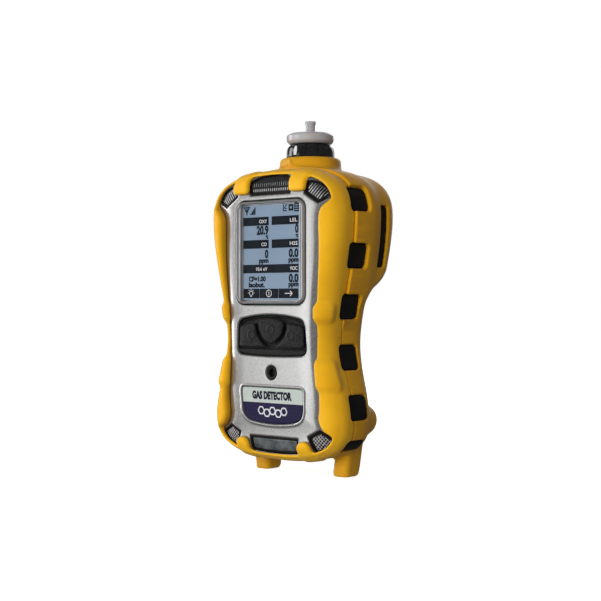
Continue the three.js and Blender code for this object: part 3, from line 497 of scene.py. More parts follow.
def pad_shape(grid, along, grow=0.0):
    """The six grip pads of a side, seen square to the surface."""
    middle, width = sum(PAD_Y) / 2, PAD_Y[1] - PAD_Y[0]
    return either(*[rounded_rect(along - OUTLINE.at_height(z), grid.y, (0, middle),
                                 (length + 2 * grow, width + 2 * grow), 2.6)
                    for z, length in PADS])


# Tabs over the cover's top and bottom: centre, size and corner radius. Grips: height, length.
TABS = [((21.2, 170.2), (11.6, 15.6), 2.4), ((23.1, 13.6), (9.4, 16.4), 4.6)]
GRIPS = [(94, 10.5), (59.5, 17)]


def front_bumper():
    grid = Grid((-50, -34.5, 7), (50, -9.5, 178.5), 0.5)
    inset, along = OUTLINE.measure(grid.x, grid.z)
    y = upright(grid)
    opening = cover_opening(grid, inset)
    drop = 2 * (1 - waistward(grid.z))
    rim = round_max(rolled(inset, y, 0, -drop), -opening, 1.8)
    for z, height in GRIPS:
        raised = round_max(rolled(inset, y, 1.5, 0.9 - drop), np.abs(grid.z - z) - height / 2, 3.4)
        raised = round_max(raised, -opening - 1.5, 2.0)
        raised = round_max(raised, y + 18, 5)
        rim = round_min(rim, raised, 2.5)
    for centre, size, r in TABS:
        flat = rounded_rect(np.abs(grid.x), grid.z, centre, size, r)
        tab = round_max(flat, rolled(inset, y, 0.4, 0.3), 1.6)
        rim = round_min(rim, tab, 1.8)
    rim = round_max(rim, grid.y - (SEAM_Y - SEAM_GAP), 0.4)
    cover = within(cover_skin(grid, inset) - GAP - y, COVER_INSET - GAP - inset)
    windows = within(pad_shape(grid, along, GAP), inset - 8)
    field = round_max(within(rim, -cover), -windows, 0.8)
    carve("yellow_bumper", grid, field, YELLOW, ["front_bumper"], keep=0.45)


# ---- the yellow boot and black housing behind ----
def hump_rake(z):
    """The hump's back leans in below this height."""
    return np.clip(146 - z, 0, None) * 0.06


def rear_form(grid, inset, depth):
    """The slab and hump together, `depth` inside the outer skin."""
    z, y = grid.z, grid.y
    corner = 8 + 0.13 * np.clip(97 - z, 0, 55)
    slab = round_max(depth - inset, y - SLAB_REAR_Y + depth, corner - depth)
    back = y - REAR_Y + hump_rake(z) + depth
    slope = ((y - 12) * 0.563 - (z - 104.2) * 0.826) + depth
    hump = round_max(depth - inset, back, 12 - depth)
    hump = round_max(hump, slope, 5 - depth / 2)
    return blend_min(slab, hump, 6)


def side_slot(grid, grow):
    """The dark slot down each side of the hump."""
    flat = rounded_rect(grid.y, grid.z, (17.2, 138), (6.4, 35), 1) - grow
    return within(flat, 36 - np.abs(grid.x))


def battery_opening(grid, grow):
    """The battery's place in the back."""
    return rounded_rect(grid.x, grid.z, (0, 60.5), (51, 73), 4) - grow


def sensor_opening(grid, grow):
    """The sensor cover's place in the hump."""
    return rounded_rect(grid.x, grid.z, (0, SENSOR_Z), (60, 42), 4) - grow


def contact_opening(grid, grow):
    """The charging contacts' place in the underside."""
    flat = rounded_rect(grid.x, grid.y, (0, 0.5), (26 + 2 * grow, 9 + 2 * grow), 0.6)
    return within(flat, grid.z - 17)


def feet(grid):
    """Two feet that spread and run up into the body."""
    side = path((-2.4, 22), [(-2.4, 1)], [(-2.4, 0), (-1.4, 0)], [(8, 0)], [(11.6, 1), (12, 7)],
                [(12.6, 22)])
    profile = polygon(grid.y, grid.z, side)
    splay = 0.16 * np.clip(grid.z - 3, 0, None)
    plan = rounded_rect(np.abs(grid.x) - splay, grid.y, (29.7, 5), (11.2, 15), 3.8)
    return round_max(profile, plan, 1.4)


def knuckles(grid):
    """The bumps at the lower rear corners."""
    (x, y, z), (rx, ry, rz) = (38.8, 10.2, 32.5), (6.4, 8.2, 8.4)
    stretched = np.hypot(np.hypot((np.abs(grid.x) - x) / rx, (grid.y - y) / ry), (grid.z - z) / rz)
    return (stretched - 1) * 7


def from_inlet(grid):
    """Distance from the inlet's axis."""
    return np.hypot(grid.x, grid.y - INLET_Y)


def collar(grid):
    """The post round the inlet, a little wider at its foot."""
    post = from_inlet(grid) - (17.9 + 0.07 * np.clip(COLLAR_TOP_Z - grid.z, 0, None))
    return round_max(within(post, 160 - grid.z), grid.z - COLLAR_TOP_Z, 2.4)


def collar_arrow(grid):
    """The raised arrow on the collar's front."""
    flat = polygon(grid.x, grid.z, [(-3.4, 177.6), (3.4, 177.6), (0, 183.6)])
    return within(flat, from_inlet(grid) - 18.9, grid.y)


def rear_boot():
    grid = Grid((-50, -12, -1.5), (50, 34.5, 186.5), 0.55)
    inset, along = OUTLINE.measure(grid.x, grid.z)
    field = rear_form(grid, inset, 0)
    field = round_min(field, collar(grid), 3)
    field = blend_min(field, knuckles(grid), 3)
    field = round_min(field, feet(grid), 2)
    field = either(field, collar_arrow(grid))
    field = round_max(field, SEAM_Y + SEAM_GAP - grid.y, 0.4)
    field = within(field, -rear_form(grid, inset, RUBBER))
    windows = within(pad_shape(grid, along, GAP), inset - 8)
    rear_cuts = within(either(battery_opening(grid, 0.5), sensor_opening(grid, GAP)), -grid.y)
    stem = within(from_inlet(grid) - 12.6, 150 - grid.z)
    for opening, r in ((windows, 0.8), (side_slot(grid, GAP), 0.8), (rear_cuts, 1.0),
                       (stem, 0.8), (contact_opening(grid, GAP), 0.6)):
        field = round_max(field, -opening, r)
    for x, z in CASE_SCREWS:
        well = within(np.hypot(np.abs(grid.x) - x, grid.z - z) - SCREW_WELL_R, -grid.y)
        field = round_max(field, -well, 0.6)
    exhaust = np.hypot(grid.y - EXHAUST_Y, grid.z - EXHAUST_Z) - EXHAUST_R
    field = round_max(field, -within(exhaust, grid.x + 30), 0.6)
    # The boot, with its collar, knuckles and feet, takes the darkened rubber: painted shade.
    carve("yellow_boot", grid, field, YELLOW_SHADED, ["rear_boot"], keep=0.4)


def rear_housing():
    """The black shell inside the boot, with the grip pads and slots that show through it."""
    grid = Grid((-50, -15, 10), (50, 31.5, 175), 0.62)
    inset, along = OUTLINE.measure(grid.x, grid.z)
    shell = within(rear_form(grid, inset, RUBBER + GAP),
                   -rear_form(grid, inset, RUBBER + GAP + WALL), SEAM_Y + 0.6 - grid.y)
    pads = round_max(pad_shape(grid, along), 0.4 - inset, 0.9)
    front_part = within(pads, inset - 3.1, grid.y - SEAM_Y - 0.6)
    rear_part = within(pads, inset - 4.6, SEAM_Y - grid.y)
    slots = within(side_slot(grid, 0), rear_form(grid, inset, 1.2), -rear_form(grid, inset, 5))
    field = either(shell, slots, front_part, rear_part)
    behind = -grid.y
    for opening in (within(battery_opening(grid, GAP), behind),
                    within(sensor_opening(grid, -2), behind),
                    within(sensor_opening(grid, GAP), REAR_Y - 4.6 - grid.y),
                    within(from_inlet(grid) - 9.2, 150 - grid.z),
                    contact_opening(grid, GAP)):
        field = within(field, -opening)
    carve("black_housing", grid, field, PAD_BLACK, ["rear_housing"], keep=0.4)


# ---- the silver front cover and what is set in it ----
def keypad_outline(grow=0.0):
    """The recess round the keys."""
    w = 26.2 + grow
    return path((-w + 4, 69.9 - grow), [(0, 68.4 - grow), (w - 4, 69.9 - grow)],
                [(w, 70.2 - grow), (w, 74.5)], [(w - 0.8, 86)],
                [(w - 1.2, 90.4 + grow), (w - 7, 91 + grow)],
                [(0, 94.6 + grow), (7 - w, 91 + grow)],
                [(1.2 - w, 90.4 + grow), (0.8 - w, 86)], [(-w, 74.5)],
                [(-w, 70.2 - grow), (4 - w, 69.9 - grow)])


LABEL_OUTLINE = path((-20.7, 51.2), [(20.7, 51.2)], [(23.2, 51.2), (23.2, 48.7)], [(22.8, 38.5)],
                     [(22.4, 33.2), (16.2, 31.6)], [(0, 28.9), (-16.2, 31.6)],
                     [(-22.4, 33.2), (-22.8, 38.5)], [(-23.2, 48.7)], [(-23.2, 51.2), (-20.7, 51.2)])
TOP_LENS = path((-15, 162), [(15, 162)], [(17, 168.4)], [(13, 173.2), (0, 173.6)],
                [(-13, 173.2), (-17, 168.4)])
BOTTOM_LENS = path((-18, 22.6), [(18, 22.6)], [(17.6, 14.6)], [(0, 12.6), (-17.6, 14.6)])
TOP_CORNER = path((25.4, 161.4), [(34.6, 155.6)], [(42.6, 159.2)],
                  [(41.8, 164.6), (34.4, 169), (26.6, 168.6)])
BOTTOM_CORNER = path((25.6, 24.4), [(33.5, 28.3)], [(42.4, 23.6)],
                     [(40.6, 18.6), (36, 16), (29.4, 15)])


def lens_field(grid, outline):
    return polygon(np.abs(grid.x) if outline[0][0] > 0 else grid.x, grid.z, outline) - 0.3


def front_cover():
    grid = Grid((-46, -30, 11), (46, -11, 174.5), 0.42)
    inset, _ = OUTLINE.measure(grid.x, grid.z)
    y = upright(grid)
    keypad = polygon(grid.x, grid.z, keypad_outline())
    label = polygon(grid.x, grid.z, LABEL_OUTLINE)
    display = rounded_rect(grid.x, grid.z, (0, DISPLAY_Z), (52.8, 60.4), 6.4)
    outer = cover_skin(grid, inset) - bead(label - 0.9, 0.45, 0.6) - y
    inner = within(cover_skin(grid, inset - WALL) + WALL - y, COVER_INSET + WALL - inset)
    field = within(outer, COVER_INSET - inset, grid.y + 11.9, -inner)
    port = np.hypot(grid.x, grid.z - BUZZER_Z) - 4
    for opening, r in ((keypad, 1.3), (display, 0.6), (port, 0.9)):
        field = round_max(field, -opening, r)
    field = round_max(field, -within(label, y - FACE_Y - 1.1), 0.3)
    for outline in (TOP_LENS, BOTTOM_LENS, TOP_CORNER, BOTTOM_CORNER):
        field = round_max(field, -lens_field(grid, outline), 0.6)
    carve("silver_cover", grid, field, SILVER, ["front_cover"], keep=0.4)


def stripes(across, pitch, width):
    """Bands about width wide, repeating at the pitch. Negative inside a band."""
    return pitch * np.abs((across / pitch) % 1 - 0.5) - width / 2


RIB_PITCH = 1.6
MESH_PITCH, MESH_WIRE = 1.5, 0.34


def top_ribs(x, z):
    """Two rows of upright ribs, the upper row finer."""
    low = within(stripes(x, RIB_PITCH, 0.62), np.abs(z - 164.3) - 1.1)
    high = within(stripes(x, RIB_PITCH, 0.3), np.abs(z - 167.6) - 1.2)
    return either(low, high)


def corner_ribs(x, z):
    """Slanting ribs that grow thinner outwards."""
    along = 0.65 * x + 0.76 * z
    width = 0.66 - 0.11 * np.clip(along - 143.4, 0, 4)
    return within(stripes(0.76 * x - 0.65 * z, RIB_PITCH, width), along - 150)


def mesh_ribs(x, z):
    """A diamond mesh."""
    return either(stripes(0.7 * x + 0.7 * z, MESH_PITCH, MESH_WIRE),
                  stripes(0.7 * x - 0.7 * z, MESH_PITCH, MESH_WIRE))


def lens(name, outline, side, paint, ribs=None, band=False):
    """A light pipe in a black seal, with its ribs. side is 0 for one across the centre."""
    xs, zs = outline[:, 0], outline[:, 1]
    low_x, high_x = (xs.min() - 2, xs.max() + 2) if side >= 0 else (-xs.max() - 2, 2 - xs.min())
    grid = Grid((low_x, -30, zs.min() - 2), (high_x, -16, zs.max() + 2), 0.2)
    inset, _ = OUTLINE.measure(grid.x, grid.z)
    skin = cover_skin(grid, inset)
    y = upright(grid)
    shape = lens_field(grid, outline)
    face = skin + 1.1
    back = grid.y + 17.2
    body = within(face - y, y - face - 1.8, back)
    carve(f"lens_{name}", grid, round_max(body, shape + 1.3, 0.3), paint,
          [f"led_lens_{name}"], keep=0.5)
    seal = within(np.abs(shape + 0.45) - 0.75, skin + 0.2 - y, y - face - 1.6, back)
    carve(f"lens_seal_{name}", grid, seal, PAD_BLACK, keep=0.5)
    if ribs:
        # The ribs take the pale material: painted highlight.
        raised = within(face - 0.12 - y, y - face - 0.3, shape + 2.0,
                        ribs(np.abs(grid.x), grid.z), back)
        carve(f"lens_ribs_{name}", grid, raised, LENS_RIB_HIGHLIGHT, keep=0.5)
    if band:
        outward = 0.5 * (np.abs(grid.x) - 33) + 0.86 * (grid.z - 161.5)
        edge = within(np.abs(shape - 0.25) - 0.75, skin - 0.3 - y, y - face, 0.8 - outward,
                      3.6 - inset, back)
        carve(f"lens_band_{name}", grid, edge, LENS_GREY, keep=0.5)


def lenses():
    lens("top", TOP_LENS, 0, LENS, top_ribs)
    lens("bottom", BOTTOM_LENS, 0, LENS_GREY)
    for side, word in ((1, "right"), (-1, "left")):
        lens(f"top_{word}", TOP_CORNER, side, LENS, corner_ribs, band=True)
        lens(f"bottom_{word}", BOTTOM_CORNER, side, LENS, mesh_ribs)


def display_bezel():
    """Two bright rings with a dark groove between them, round the recessed display."""
    grid = Grid((-27, -30.3, 98), (27, -24.5, 159.5), 0.2)
    edge = rounded_rect(grid.x, grid.z, (0, DISPLAY_Z), (51.6, 59.2), 6)
    opening = rounded_rect(grid.x, grid.z, (0, DISPLAY_Z), (44.6, 56.4), 2.6)
    view = rounded_rect(grid.x, grid.z, (0, DISPLAY_Z), (43.2, 55.2), 1)
    beads = bead(edge + 1.0, 1.15, 0.6) + bead(opening - 0.55, 0.55, 0.45)
    field = round_max(edge, -28.1 - beads - grid.y, 0.3)
    field = within(field, grid.y + 25.2)
    field = round_max(field, -within(opening, grid.y + 26.7), 0.25)
    field = within(field, -view)
    carve("display_surround", grid, field, BEZEL, ["display_bezel"], keep=0.4)


MODE_KEY = path((0, 76.2), [(4.2, 77.4), (9.3, 81.5), (9.5, 86.8)],
                [(9.5, 90.3), (5, 90.9), (0, 90.9)], [(-5, 90.9), (-9.5, 90.3), (-9.5, 86.8)],
                [(-9.3, 81.5), (-4.2, 77.4), (0, 76.2)])


def key(name, low, high, mark_x, mark_z):
    """A domed key with a raised ring. The outer two fill the recess beside the shield."""
    grid = Grid((low, -29.4, 72.5), (high, -25.9, 92.5), 0.25)
    flat = polygon(grid.x, grid.z, MODE_KEY)
    if name != "key_mode":
        well = polygon(grid.x, grid.z, keypad_outline(-1.5))
        band = within(74.1 - grid.z, grid.z - 88.9 + 0.004 * grid.x**2)
        flat = round_max(round_max(well, band, 2.0), 2.6 - flat, 1.2)
    ring = bead(np.hypot(grid.x - mark_x, grid.z - mark_z) - 2.3, 0.25, 0.5)
    dome = 0.3 * np.clip(-flat / 5, 0, 1) ** 0.5
    inset, _ = OUTLINE.measure(grid.x, grid.z)
    face = cover_skin(grid, inset) + 0.9 - dome - ring
    field = within(round_max(flat, face - grid.y, 0.9), grid.y + 26.3)
    carve(name + "_cap", grid, field, KEY_BLACK, [name], body=name)


def keys():
    key("key_left", -26, -1, -14.784, 81.5)
    key("key_mode", -11, 11, 0, 84.4)
    key("key_right", 1, 26, 14.784, 81.5)


def keypad_floor():
    """The rubber sheet behind the keys, with the lip along the bottom of the recess."""
    grid = Grid((-27.5, -29, 67.5), (27.5, -23, 94.5), 0.35)
    y = upright(grid)
    well = polygon(grid.x, grid.z, keypad_outline(-0.35))
    floor = -25.15 - y
    ledge = within(-27.2 - y, grid.z - 73.1)
    wall = within(-26.4 - y, np.abs(well + 0.3) - 0.6)
    field = within(round_max(well, either(floor, ledge, wall), 0.5), y + 24.2)
    carve("keypad_sheet", grid, field, KEY_BLACK, ["keypad_base"])


def label_plate():
    grid = Grid((-24, -29, 28), (24, -22, 52.5), 0.3)
    flat = polygon(grid.x, grid.z, LABEL_OUTLINE) + 0.3
    y = upright(grid)
    field = within(round_max(flat, FACE_Y + 0.15 - y, 0.15), y - FACE_Y - 0.85)
    carve("label_film", grid, field, LABEL, ["label_plate"])


def buzzer_grommet():
    y = FACE_Y + float(lean(np.array(BUZZER_Z)))
    profile = [(2.4, 3.2), (2.4, 0.9), (2.7, 0.55), (3.1, 0.5), (3.55, 0.75), (3.7, 1.2),
               (3.7, 3.3), (2.4, 3.2)]
    piece = turned("buzzer_ring", profile, (0, 0), BLACK, ["buzzer_grommet"])
    for v in piece.data.vertices:
        x, across, depth = v.co
        v.co = (x, depth + y * MM, across + BUZZER_Z * MM)
    piece.data.flip_normals()


# ---- lettering ----
PRINT_DEPTH = 0.08


def flat_piece(name, joined, material):
    """Closes a bmesh of raised shapes and makes it a piece."""
    bmesh.ops.recalc_face_normals(joined, faces=joined.faces)
    mesh = bpy.data.meshes.new(name)
    joined.to_mesh(mesh)
    joined.free()
    return add_piece(name, mesh, material)


def lettering(name, lines, y, material, weight):
    """One mesh from (text, left, right, baseline, cap height) lines, facing the front.
    weight thickens the strokes."""
    joined = bmesh.new()
    graph = bpy.context.evaluated_depsgraph_get()
    for text, left, right, z, height in lines:
        curve = bpy.data.curves.new(name + "_line", "FONT")
        curve.body = text
        curve.size = height * 1.38 * MM
        curve.extrude = PRINT_DEPTH / 2 * MM
        curve.resolution_u = 3
        curve.offset = weight * MM
        line = bpy.data.objects.new(name + "_line", curve)
        bpy.context.scene.collection.objects.link(line)
        graph.update()
        mesh = line.evaluated_get(graph).to_mesh()
        low = min(v.co.x for v in mesh.vertices)
        high = max(v.co.x for v in mesh.vertices)
        stretch = (right - left) * MM / (high - low)
        start = len(joined.verts)
        joined.from_mesh(mesh)
        joined.verts.ensure_lookup_table()
        for v in joined.verts[start:]:
            v.co = Vector((left * MM + (v.co.x - low) * stretch, y * MM - v.co.z,
                           z * MM + v.co.y))
        line.evaluated_get(graph).to_mesh_clear()
        bpy.data.objects.remove(line)
    bmesh.ops.remove_doubles(joined, verts=joined.verts, dist=1e-6)
    return flat_piece(name, joined, material)


def tiles(name, outlines, y, material, depth=PRINT_DEPTH):
    """One mesh from flat (x, z) outlines, each raised by depth."""
    joined = bmesh.new()
    for outline in outlines:
        ring = [joined.verts.new((px * MM, y * MM, pz * MM)) for px, pz in outline]
        face = joined.faces.new(ring)
        raised = bmesh.ops.extrude_face_region(joined, geom=[face])
        top = [g for g in raised["geom"] if isinstance(g, bmesh.types.BMVert)]
        bmesh.ops.translate(joined, verts=top, vec=(0, -depth * MM, 0))
    return flat_piece(name, joined, material)


def bar(x0, x1, z0, z1):
    """An upright rectangle."""
    return [(x0, z0), (x1, z0), (x1, z1), (x0, z1)]


def arc(x, z, r, start, end, width, n=12):
    """A bent bar along part of a circle, as short strokes. Angles are in degrees."""
    angles = np.radians(np.linspace(start, end, n + 1))
    points = [(x + r * math.cos(a), z + r * math.sin(a)) for a in angles]
    return [stroke(a, b, width) for a, b in zip(points, points[1:])]


def stroke(start, end, width):
    """A short straight line as a bar with width."""
    (x0, z0), (x1, z1) = start, end
    length = math.hypot(x1 - x0, z1 - z0)
    nx, nz = -(z1 - z0) / length * width / 2, (x1 - x0) / length * width / 2
    return [(x0 - nx, z0 - nz), (x1 - nx, z1 - nz), (x1 + nx, z1 + nz), (x0 + nx, z0 + nz)]


INK_Y = -26.72
SCREEN_X = (-21.8, 20.4)
SPLIT_X = (-2.0, 0.3)
SOFT_KEY_X = (-9.0, 5.4)


def screen_bars():
    """The dark title bars, and the bar behind the soft-key symbols."""
    (left, right), (end, start) = SCREEN_X, SPLIT_X
    bars = []
    for top in (149.2, 136.0):
        bars += [bar(left, end, top - 4.9, top), bar(start, right, top - 4.9, top)]
    bars.append(bar(left, right, 116.9, 121.8))
    edges = [left, *SOFT_KEY_X, right]
    bars += [bar(a + 0.12, b - 0.12, 102.4, 107.9) for a, b in zip(edges, edges[1:])]
    return bars


def status_icons():
    """Antenna and signal strength on the left; logging, memory and battery on the right."""
    antenna = [bar(-19.3, -18.5, 150.6, 155.4), stroke((-18.9, 151.9), (-21, 155.3), 0.75),
               stroke((-18.9, 151.9), (-16.8, 155.3), 0.75), bar(-21.3, -16.5, 154.8, 155.4)]
    signal = [bar(-16.2 + 1.05 * k, -15.3 + 1.05 * k, 150.7, 151.5 + 1.15 * k)
              for k in range(4)]
    logging = [bar(8.8, 9.4, 151.8, 155.8), bar(8.8, 11.7, 151.8, 152.4),
               stroke((9.8, 153.4), (11.6, 155.8), 0.6), bar(10.2, 11.7, 153, 153.5)]
    memory = [bar(13, 16.5, 151.9, 153.1), bar(13, 16.5, 154.4, 155.6),
              bar(13, 14, 153.1, 154.4), bar(15.4, 16.5, 153.1, 154.4)]
    battery = [bar(17.2, 20.8, 151.3 + 1.3 * k, 152.1 + 1.3 * k) for k in range(4)]
    battery += [bar(17.2, 17.7, 151.3, 156.4), bar(20.3, 20.8, 151.3, 156.4),
                bar(18, 20, 156.2, 157)]
    return antenna + signal + logging + memory + battery


def soft_key_icons():
    """A lamp, a power symbol and an arrow, in thin strokes."""
    lamp = arc(-15.5, 105.4, 1.25, -60, 240, 0.36)
    lamp.append(bar(-16.1, -14.9, 103.4, 104))
    for a in np.radians((0, 45, 90, 135, 180)):
        near, far = [(-15.5 + r * math.cos(a), 105.4 + r * math.sin(a)) for r in (1.8, 2.4)]
        lamp.append(stroke(near, far, 0.36))
    power = arc(-1.8, 105.2, 1.95, 0, 360, 0.36, n=20) + [bar(-2, -1.6, 104, 106.3)]
    arrow = [bar(10.3, 15.6, 104.95, 105.35), stroke((15.8, 105.15), (14.2, 106.6), 0.42),
             stroke((15.8, 105.15), (14.2, 103.7), 0.42)]
    return lamp + power + arrow


def screen():
    """The readings on the display: a status row, five gas panels and the soft-key bar."""
    tiles("lcd_bars", screen_bars() + status_icons(), INK_Y, INK)
    tiles("lcd_symbols", soft_key_icons(), INK_Y - 0.1, PRINT)
    digits = [("20.9", -11.3, -2.2, 139.2, 4.9), ("0", 17.8, 20.3, 139.4, 4.9),
              ("0", -4.9, -2.3, 125.6, 4.7), ("0.0", 13.1, 20.3, 125.8, 4.7),
              ("0.0", 13.1, 20.3, 111.6, 4.7)]
    lettering("lcd_digits", digits, INK_Y - 0.04, INK, weight=0.32)
    units = [("%", -4.4, -2.2, 136.7, 1.7), ("%", 18.1, 20.3, 136.8, 1.7),
             ("ppm", -9.5, -2.1, 122.9, 2.7), ("ppm", 12.9, 20.4, 123.1, 2.7),
             ("ppm", 12.9, 20.4, 109.2, 2.7), ("CF=1.00", -17.4, -4.3, 112.2, 2.8),
             ("Isobut.", -17.4, -5, 108.8, 2.8)]
    lettering("lcd_units", units, INK_Y - 0.04, INK, weight=0.2)
    titles = [("OXY", -9.2, -3.3, 145.6, 2.1), ("LEL", 14.1, 19.5, 145.7, 2.1),
              ("CO", -7.5, -3.5, 132.4, 2.1), ("H2S", 14, 19.6, 132.5, 2.1),
              ("10.6 eV", -11.5, -3, 118.3, 2.0), ("VOC", 14, 19.7, 118.4, 2.1)]
    lettering("lcd_titles", titles, INK_Y - 0.1, PRINT, weight=0.02)


def lean_back(piece):
    """Lets a piece drawn on the flat follow the lean of the front."""
    for v in piece.data.vertices:
        v.co.y += float(lean(v.co.z / MM)) * MM


def label_print():
    """Generic words above, and a row of plain hexagons below."""
    words = [("GAS DETECTOR", -15.2, 14.8, 44.6, 4.3)]
    lean_back(lettering("label_words", words, FACE_Y + 0.12, NAVY, weight=0.38))
    cells = []
    for k in range(-2, 3):
        middle = (4.3 * k, 37.2 - 1.25 * (k % 2) + 0.6)
        corners = [(middle[0] + 2.3 * math.cos(a), middle[1] + 2.3 * math.sin(a))
                   for a in np.arange(6) * math.pi / 3]
        cells += [stroke(a, b, 0.75) for a, b in zip(corners, corners[1:] + corners[:1])]
    lean_back(tiles("label_badge", cells, FACE_Y + 0.12, PRINT))


# ---- sample inlet ----
def flutes(angles, z):
    """Twelve shallow flutes round the nut, fading out at its foot."""
    depth = 0.075 * min(1, max(0, (z - 185.7) / 1.6)) if z < 193.2 else 0
    wave = np.abs(np.sin(6 * (angles + math.pi / 2)))
    return 1 - depth * (1 - np.minimum(wave * 1.7, 1))


def inlet_nut():
    nut = [(10.9, 190.6), (10.9, 185.4), (13.8, 185.4), (14.2, 185.8), (14.25, 186.6),
           (14.15, 188.5), (13.9, 190.2), (13.4, 191.4), (12.6, 192.4), (11.8, 193.0),
           (10.8, 193.25), (5.2, 193.25), (5.2, 191), (10.9, 190.6)]
    turned("ribbed_nut", nut, (0, INLET_Y), GLOSS_BLACK, ["inlet_nut"],
           body="nut", sides=288, wave=flutes)


def inlet_filter():
    """The frosted disc, the stem below it and the hose nozzle above."""
    disc_profile = [(1.5, 187), (3.6, 187), (3.9, 187.4), (3.9, 193.5), (12.0, 193.5),
                    (12.6, 193.7), (13.9, 195.1), (14.1, 195.6), (14.1, 198.2), (13.7, 198.8),
                    (13.1, 199.1), (12.5, 199.1), (12.3, 199.4), (11.8, 199.8), (4.4, 199.8),
                    (3.3, 200.2), (2.8, 201), (2.75, 204.4), (3.0, 205.2), (3.35, 205.9),
                    (3.35, 206.6), (3.1, 207.1), (1.9, 207.1), (1.5, 206.7), (1.5, 187)]
    turned("filter_disc", disc_profile, (0, INLET_Y), FROSTED,
           ["inlet_filter"], body="filter")


def nut_index():
    """The white mark, drawn on the flat and then wrapped round the nut."""
    mark = path((-0.9, 186.3), [(0.9, 186.3)], [(1.3, 189)], [(0.6, 191.6)], [(-0.6, 191.6)],
                [(-1.3, 189)])
    index = tiles("nut_index", [mark], 0, PRINT, depth=0.3)
    for v in index.data.vertices:
        radius = float(np.interp(v.co.z / MM, (186.3, 190.2, 191.6), (14.1, 13.85, 13.2)))
        angle, out = v.co.x / MM / radius, radius - v.co.y / MM
        v.co.x, v.co.y = out * math.sin(angle) * MM, (INLET_Y - out * math.cos(angle)) * MM
    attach(index, "nut")


# ---- the back ----
def sensor_cover():
    grid = Grid((-31, 27.5, 122), (31, 34.5, 166), 0.4)
    flat = sensor_opening(grid, 0)
    face = grid.y - REAR_Y + 0.5 + hump_rake(grid.z)
    panel = rounded_rect(grid.x, grid.z, (0, SENSOR_Z), (40, 32), 3)
    groove = np.abs(((grid.z - SENSOR_Z) / 4) % 1 - 0.5)
    relief = np.where(panel < 0, 0.55 * np.clip(1.6 - 5 * groove, 0, 1), 0)
    relief = relief * np.clip(-panel / 0.8, 0, 1)
    field = within(round_max(flat, face + relief, 0.8), 28.7 - grid.y)
    for x in (-25.6, 25.6):
        for z in (SENSOR_Z - 16.4, SENSOR_Z + 16.4):
            hole = np.hypot(grid.x - x, grid.z - z)
            well = within(hole - 3.2, REAR_Y - 2.6 - grid.y)
            field = within(field, -either(well, hole - 1.8))
    carve("sensor_panel", grid, field, BLACK, ["sensor_cover"], keep=0.5)


# ---- CAD nodes that keep their shape ----
FINISH = {
    "display_glass": (GLASS, 0), "lcd": (LCD, 0), "sheet_steel": (STEEL, 0.15),
    "spring_steel": (STEEL, 0.2), "screw_steel": (DARK_STEEL, 0.15),
    "black_rubber": (BLACK, 0.1), "black_plastic": (BLACK, 0.4),
    "circuit_board": (BOARD, 0.1), "gold_contact": (GOLD, 0.15), "battery_cell": (CELL, 0.2),
    "latch_plastic": (BEZEL, 0.2), "sensor_plastic": (PALE, 0.2), "sensor_can": (STEEL, 0.2),
    "motor_can": (STEEL, 0.2), "brass": (GOLD, 0.1), "silicone": (SILICONE, 0),
}


def finish_cad_nodes():
    slots = {row["node"]: row["material_slot"] for row in frame["record"]["subparts"]}
    for name, node in frame["nodes"].items():
        if node.hide_render or slots[name] not in FINISH:
            continue
        material, width = FINISH[slots[name]]
        node.data.materials.clear()
        node.data.materials.append(material)
        if width:
            bevel = node.modifiers.new("soft_edges", "BEVEL")
            bevel.width = width * MM
            bevel.segments = 2
            bevel.limit_method = "ANGLE"
            bevel.angle_limit = math.radians(35)


# ---- floor, light and camera ----
AIM = Vector((0, 0, 0.1))


def area_light(name, power, size, place):
    """A rectangular lamp aimed at the middle of the object. Places are in metres."""
    light = bpy.data.lights.new(name, "AREA")
    light.energy = power
    light.shape = "RECTANGLE"
    light.size, light.size_y = size
    lamp = bpy.data.objects.new(name, light)
    lamp.location = place
    lamp.rotation_euler = (AIM - Vector(place)).to_track_quat("-Z", "Y").to_euler()
    bpy.context.scene.collection.objects.link(lamp)
    return lamp


def floor_paint():
    """Pale floor that brightens away from the object, so that its far edge is lost in white."""
    material, tree, shader = nodes_of("white_floor")
    grain = noise(tree, 200, 3)
    tree.links.new(ramp(tree, grain, [(0.3, (0.86,)), (0.7, (0.89,))]),
                   shader.inputs["Base Color"])
    bump(tree, shader, grain, 0.2, 0.02)
    shader.inputs["Roughness"].default_value = 0.8
    shader.inputs["Emission Color"].default_value = (1, 1, 1, 1)
    at = tree.nodes.new("ShaderNodeTexCoord")
    away = tree.nodes.new("ShaderNodeVectorMath")
    away.operation = "LENGTH"
    tree.links.new(at.outputs["Object"], away.inputs[0])
    glow = tree.nodes.new("ShaderNodeMapRange")
    for socket, value in (("From Min", 0.1), ("From Max", 0.8), ("To Min", 0.7), ("To Max", 1.0)):
        glow.inputs[socket].default_value = value
    tree.links.new(away.outputs["Value"], glow.inputs["Value"])
    tree.links.new(glow.outputs["Result"], shader.inputs["Emission Strength"])
    return material


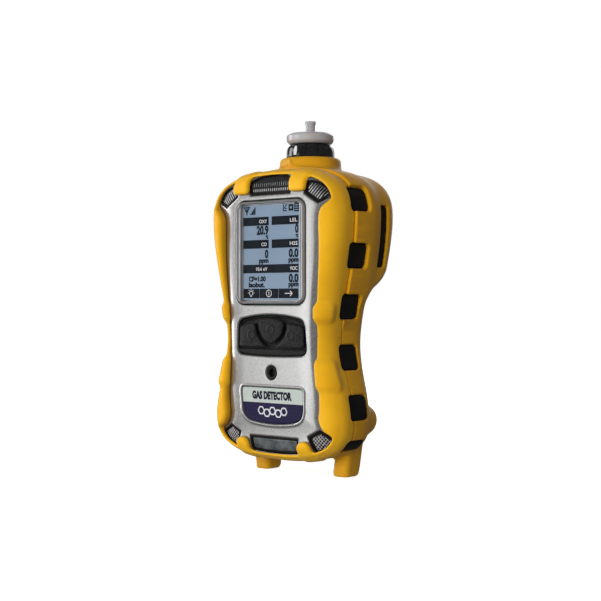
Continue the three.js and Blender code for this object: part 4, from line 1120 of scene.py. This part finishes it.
def white_world():
    """White where the camera sees it, and a dim fill for everything else."""
    world = bpy.data.worlds.new("studio")
    bpy.context.scene.world = world
    world.use_nodes = True
    tree = world.node_tree
    seen = tree.nodes.new("ShaderNodeLightPath")
    level = tree.nodes.new("ShaderNodeMapRange")
    level.inputs["To Min"].default_value = 0.17
    level.inputs["To Max"].default_value = 1.0
    tree.links.new(seen.outputs["Is Camera Ray"], level.inputs["Value"])
    tree.links.new(level.outputs["Result"], tree.nodes["Background"].inputs["Strength"])
    tree.nodes["Background"].inputs["Color"].default_value = (1, 1, 1, 1)
    bpy.context.scene.view_settings.view_transform = "Standard"


def studio():
    half = 3.0
    mesh = bpy.data.meshes.new("floor")
    mesh.from_pydata([(-half, -half, 0), (half, -half, 0), (half, half, 0), (-half, half, 0)], [],
                     [(0, 1, 2, 3)])
    mesh.materials.append(floor_paint())
    floor = bpy.data.objects.new("floor", mesh)
    floor.visible_diffuse = False
    floor.visible_glossy = False
    bpy.context.scene.collection.objects.link(floor)
    white_world()
    key = area_light("key", 16.8, (0.8, 0.8), (0.27, -1.2, 0.22))
    key.visible_glossy = False
    sheen = area_light("sheen", 2.1, (0.45, 0.6), (-0.55, -0.96, 0.06))
    sheen.visible_diffuse = False
    area_light("left", 5.5, (0.4, 0.9), (-1.0, -0.3, 0.25))
    area_light("behind", 5.0, (0.8, 0.8), (-0.35, 1.1, 0.5))


CAMERA_AZIMUTH = 40  # degrees round from the front, towards +X
CAMERA_DISTANCE = 0.759
CAMERA_HEIGHT = 0.1011
CAMERA_SHIFT = 0.0005
LENS_MM = 77.3  # on a 36 mm sensor


def camera():
    a = math.radians(CAMERA_AZIMUTH)
    back = Vector((math.sin(a), -math.cos(a), 0))
    right = Vector((math.cos(a), math.sin(a), 0))
    data = bpy.data.cameras.new("camera")
    data.lens = LENS_MM
    data.sensor_width = 36
    data.clip_start = 0.01
    view = bpy.data.objects.new("camera", data)
    view.location = back * CAMERA_DISTANCE - right * CAMERA_SHIFT + Vector((0, 0, CAMERA_HEIGHT))
    view.rotation_euler = (math.pi / 2, 0, a)
    bpy.context.scene.collection.objects.link(view)
    bpy.context.scene.camera = view


front_bumper()
rear_boot()
rear_housing()
front_cover()
lenses()
display_bezel()
keys()
keypad_floor()
label_plate()
buzzer_grommet()
screen()
label_print()
inlet_nut()
inlet_filter()
nut_index()
sensor_cover()
finish_cad_nodes()
studio()
camera()
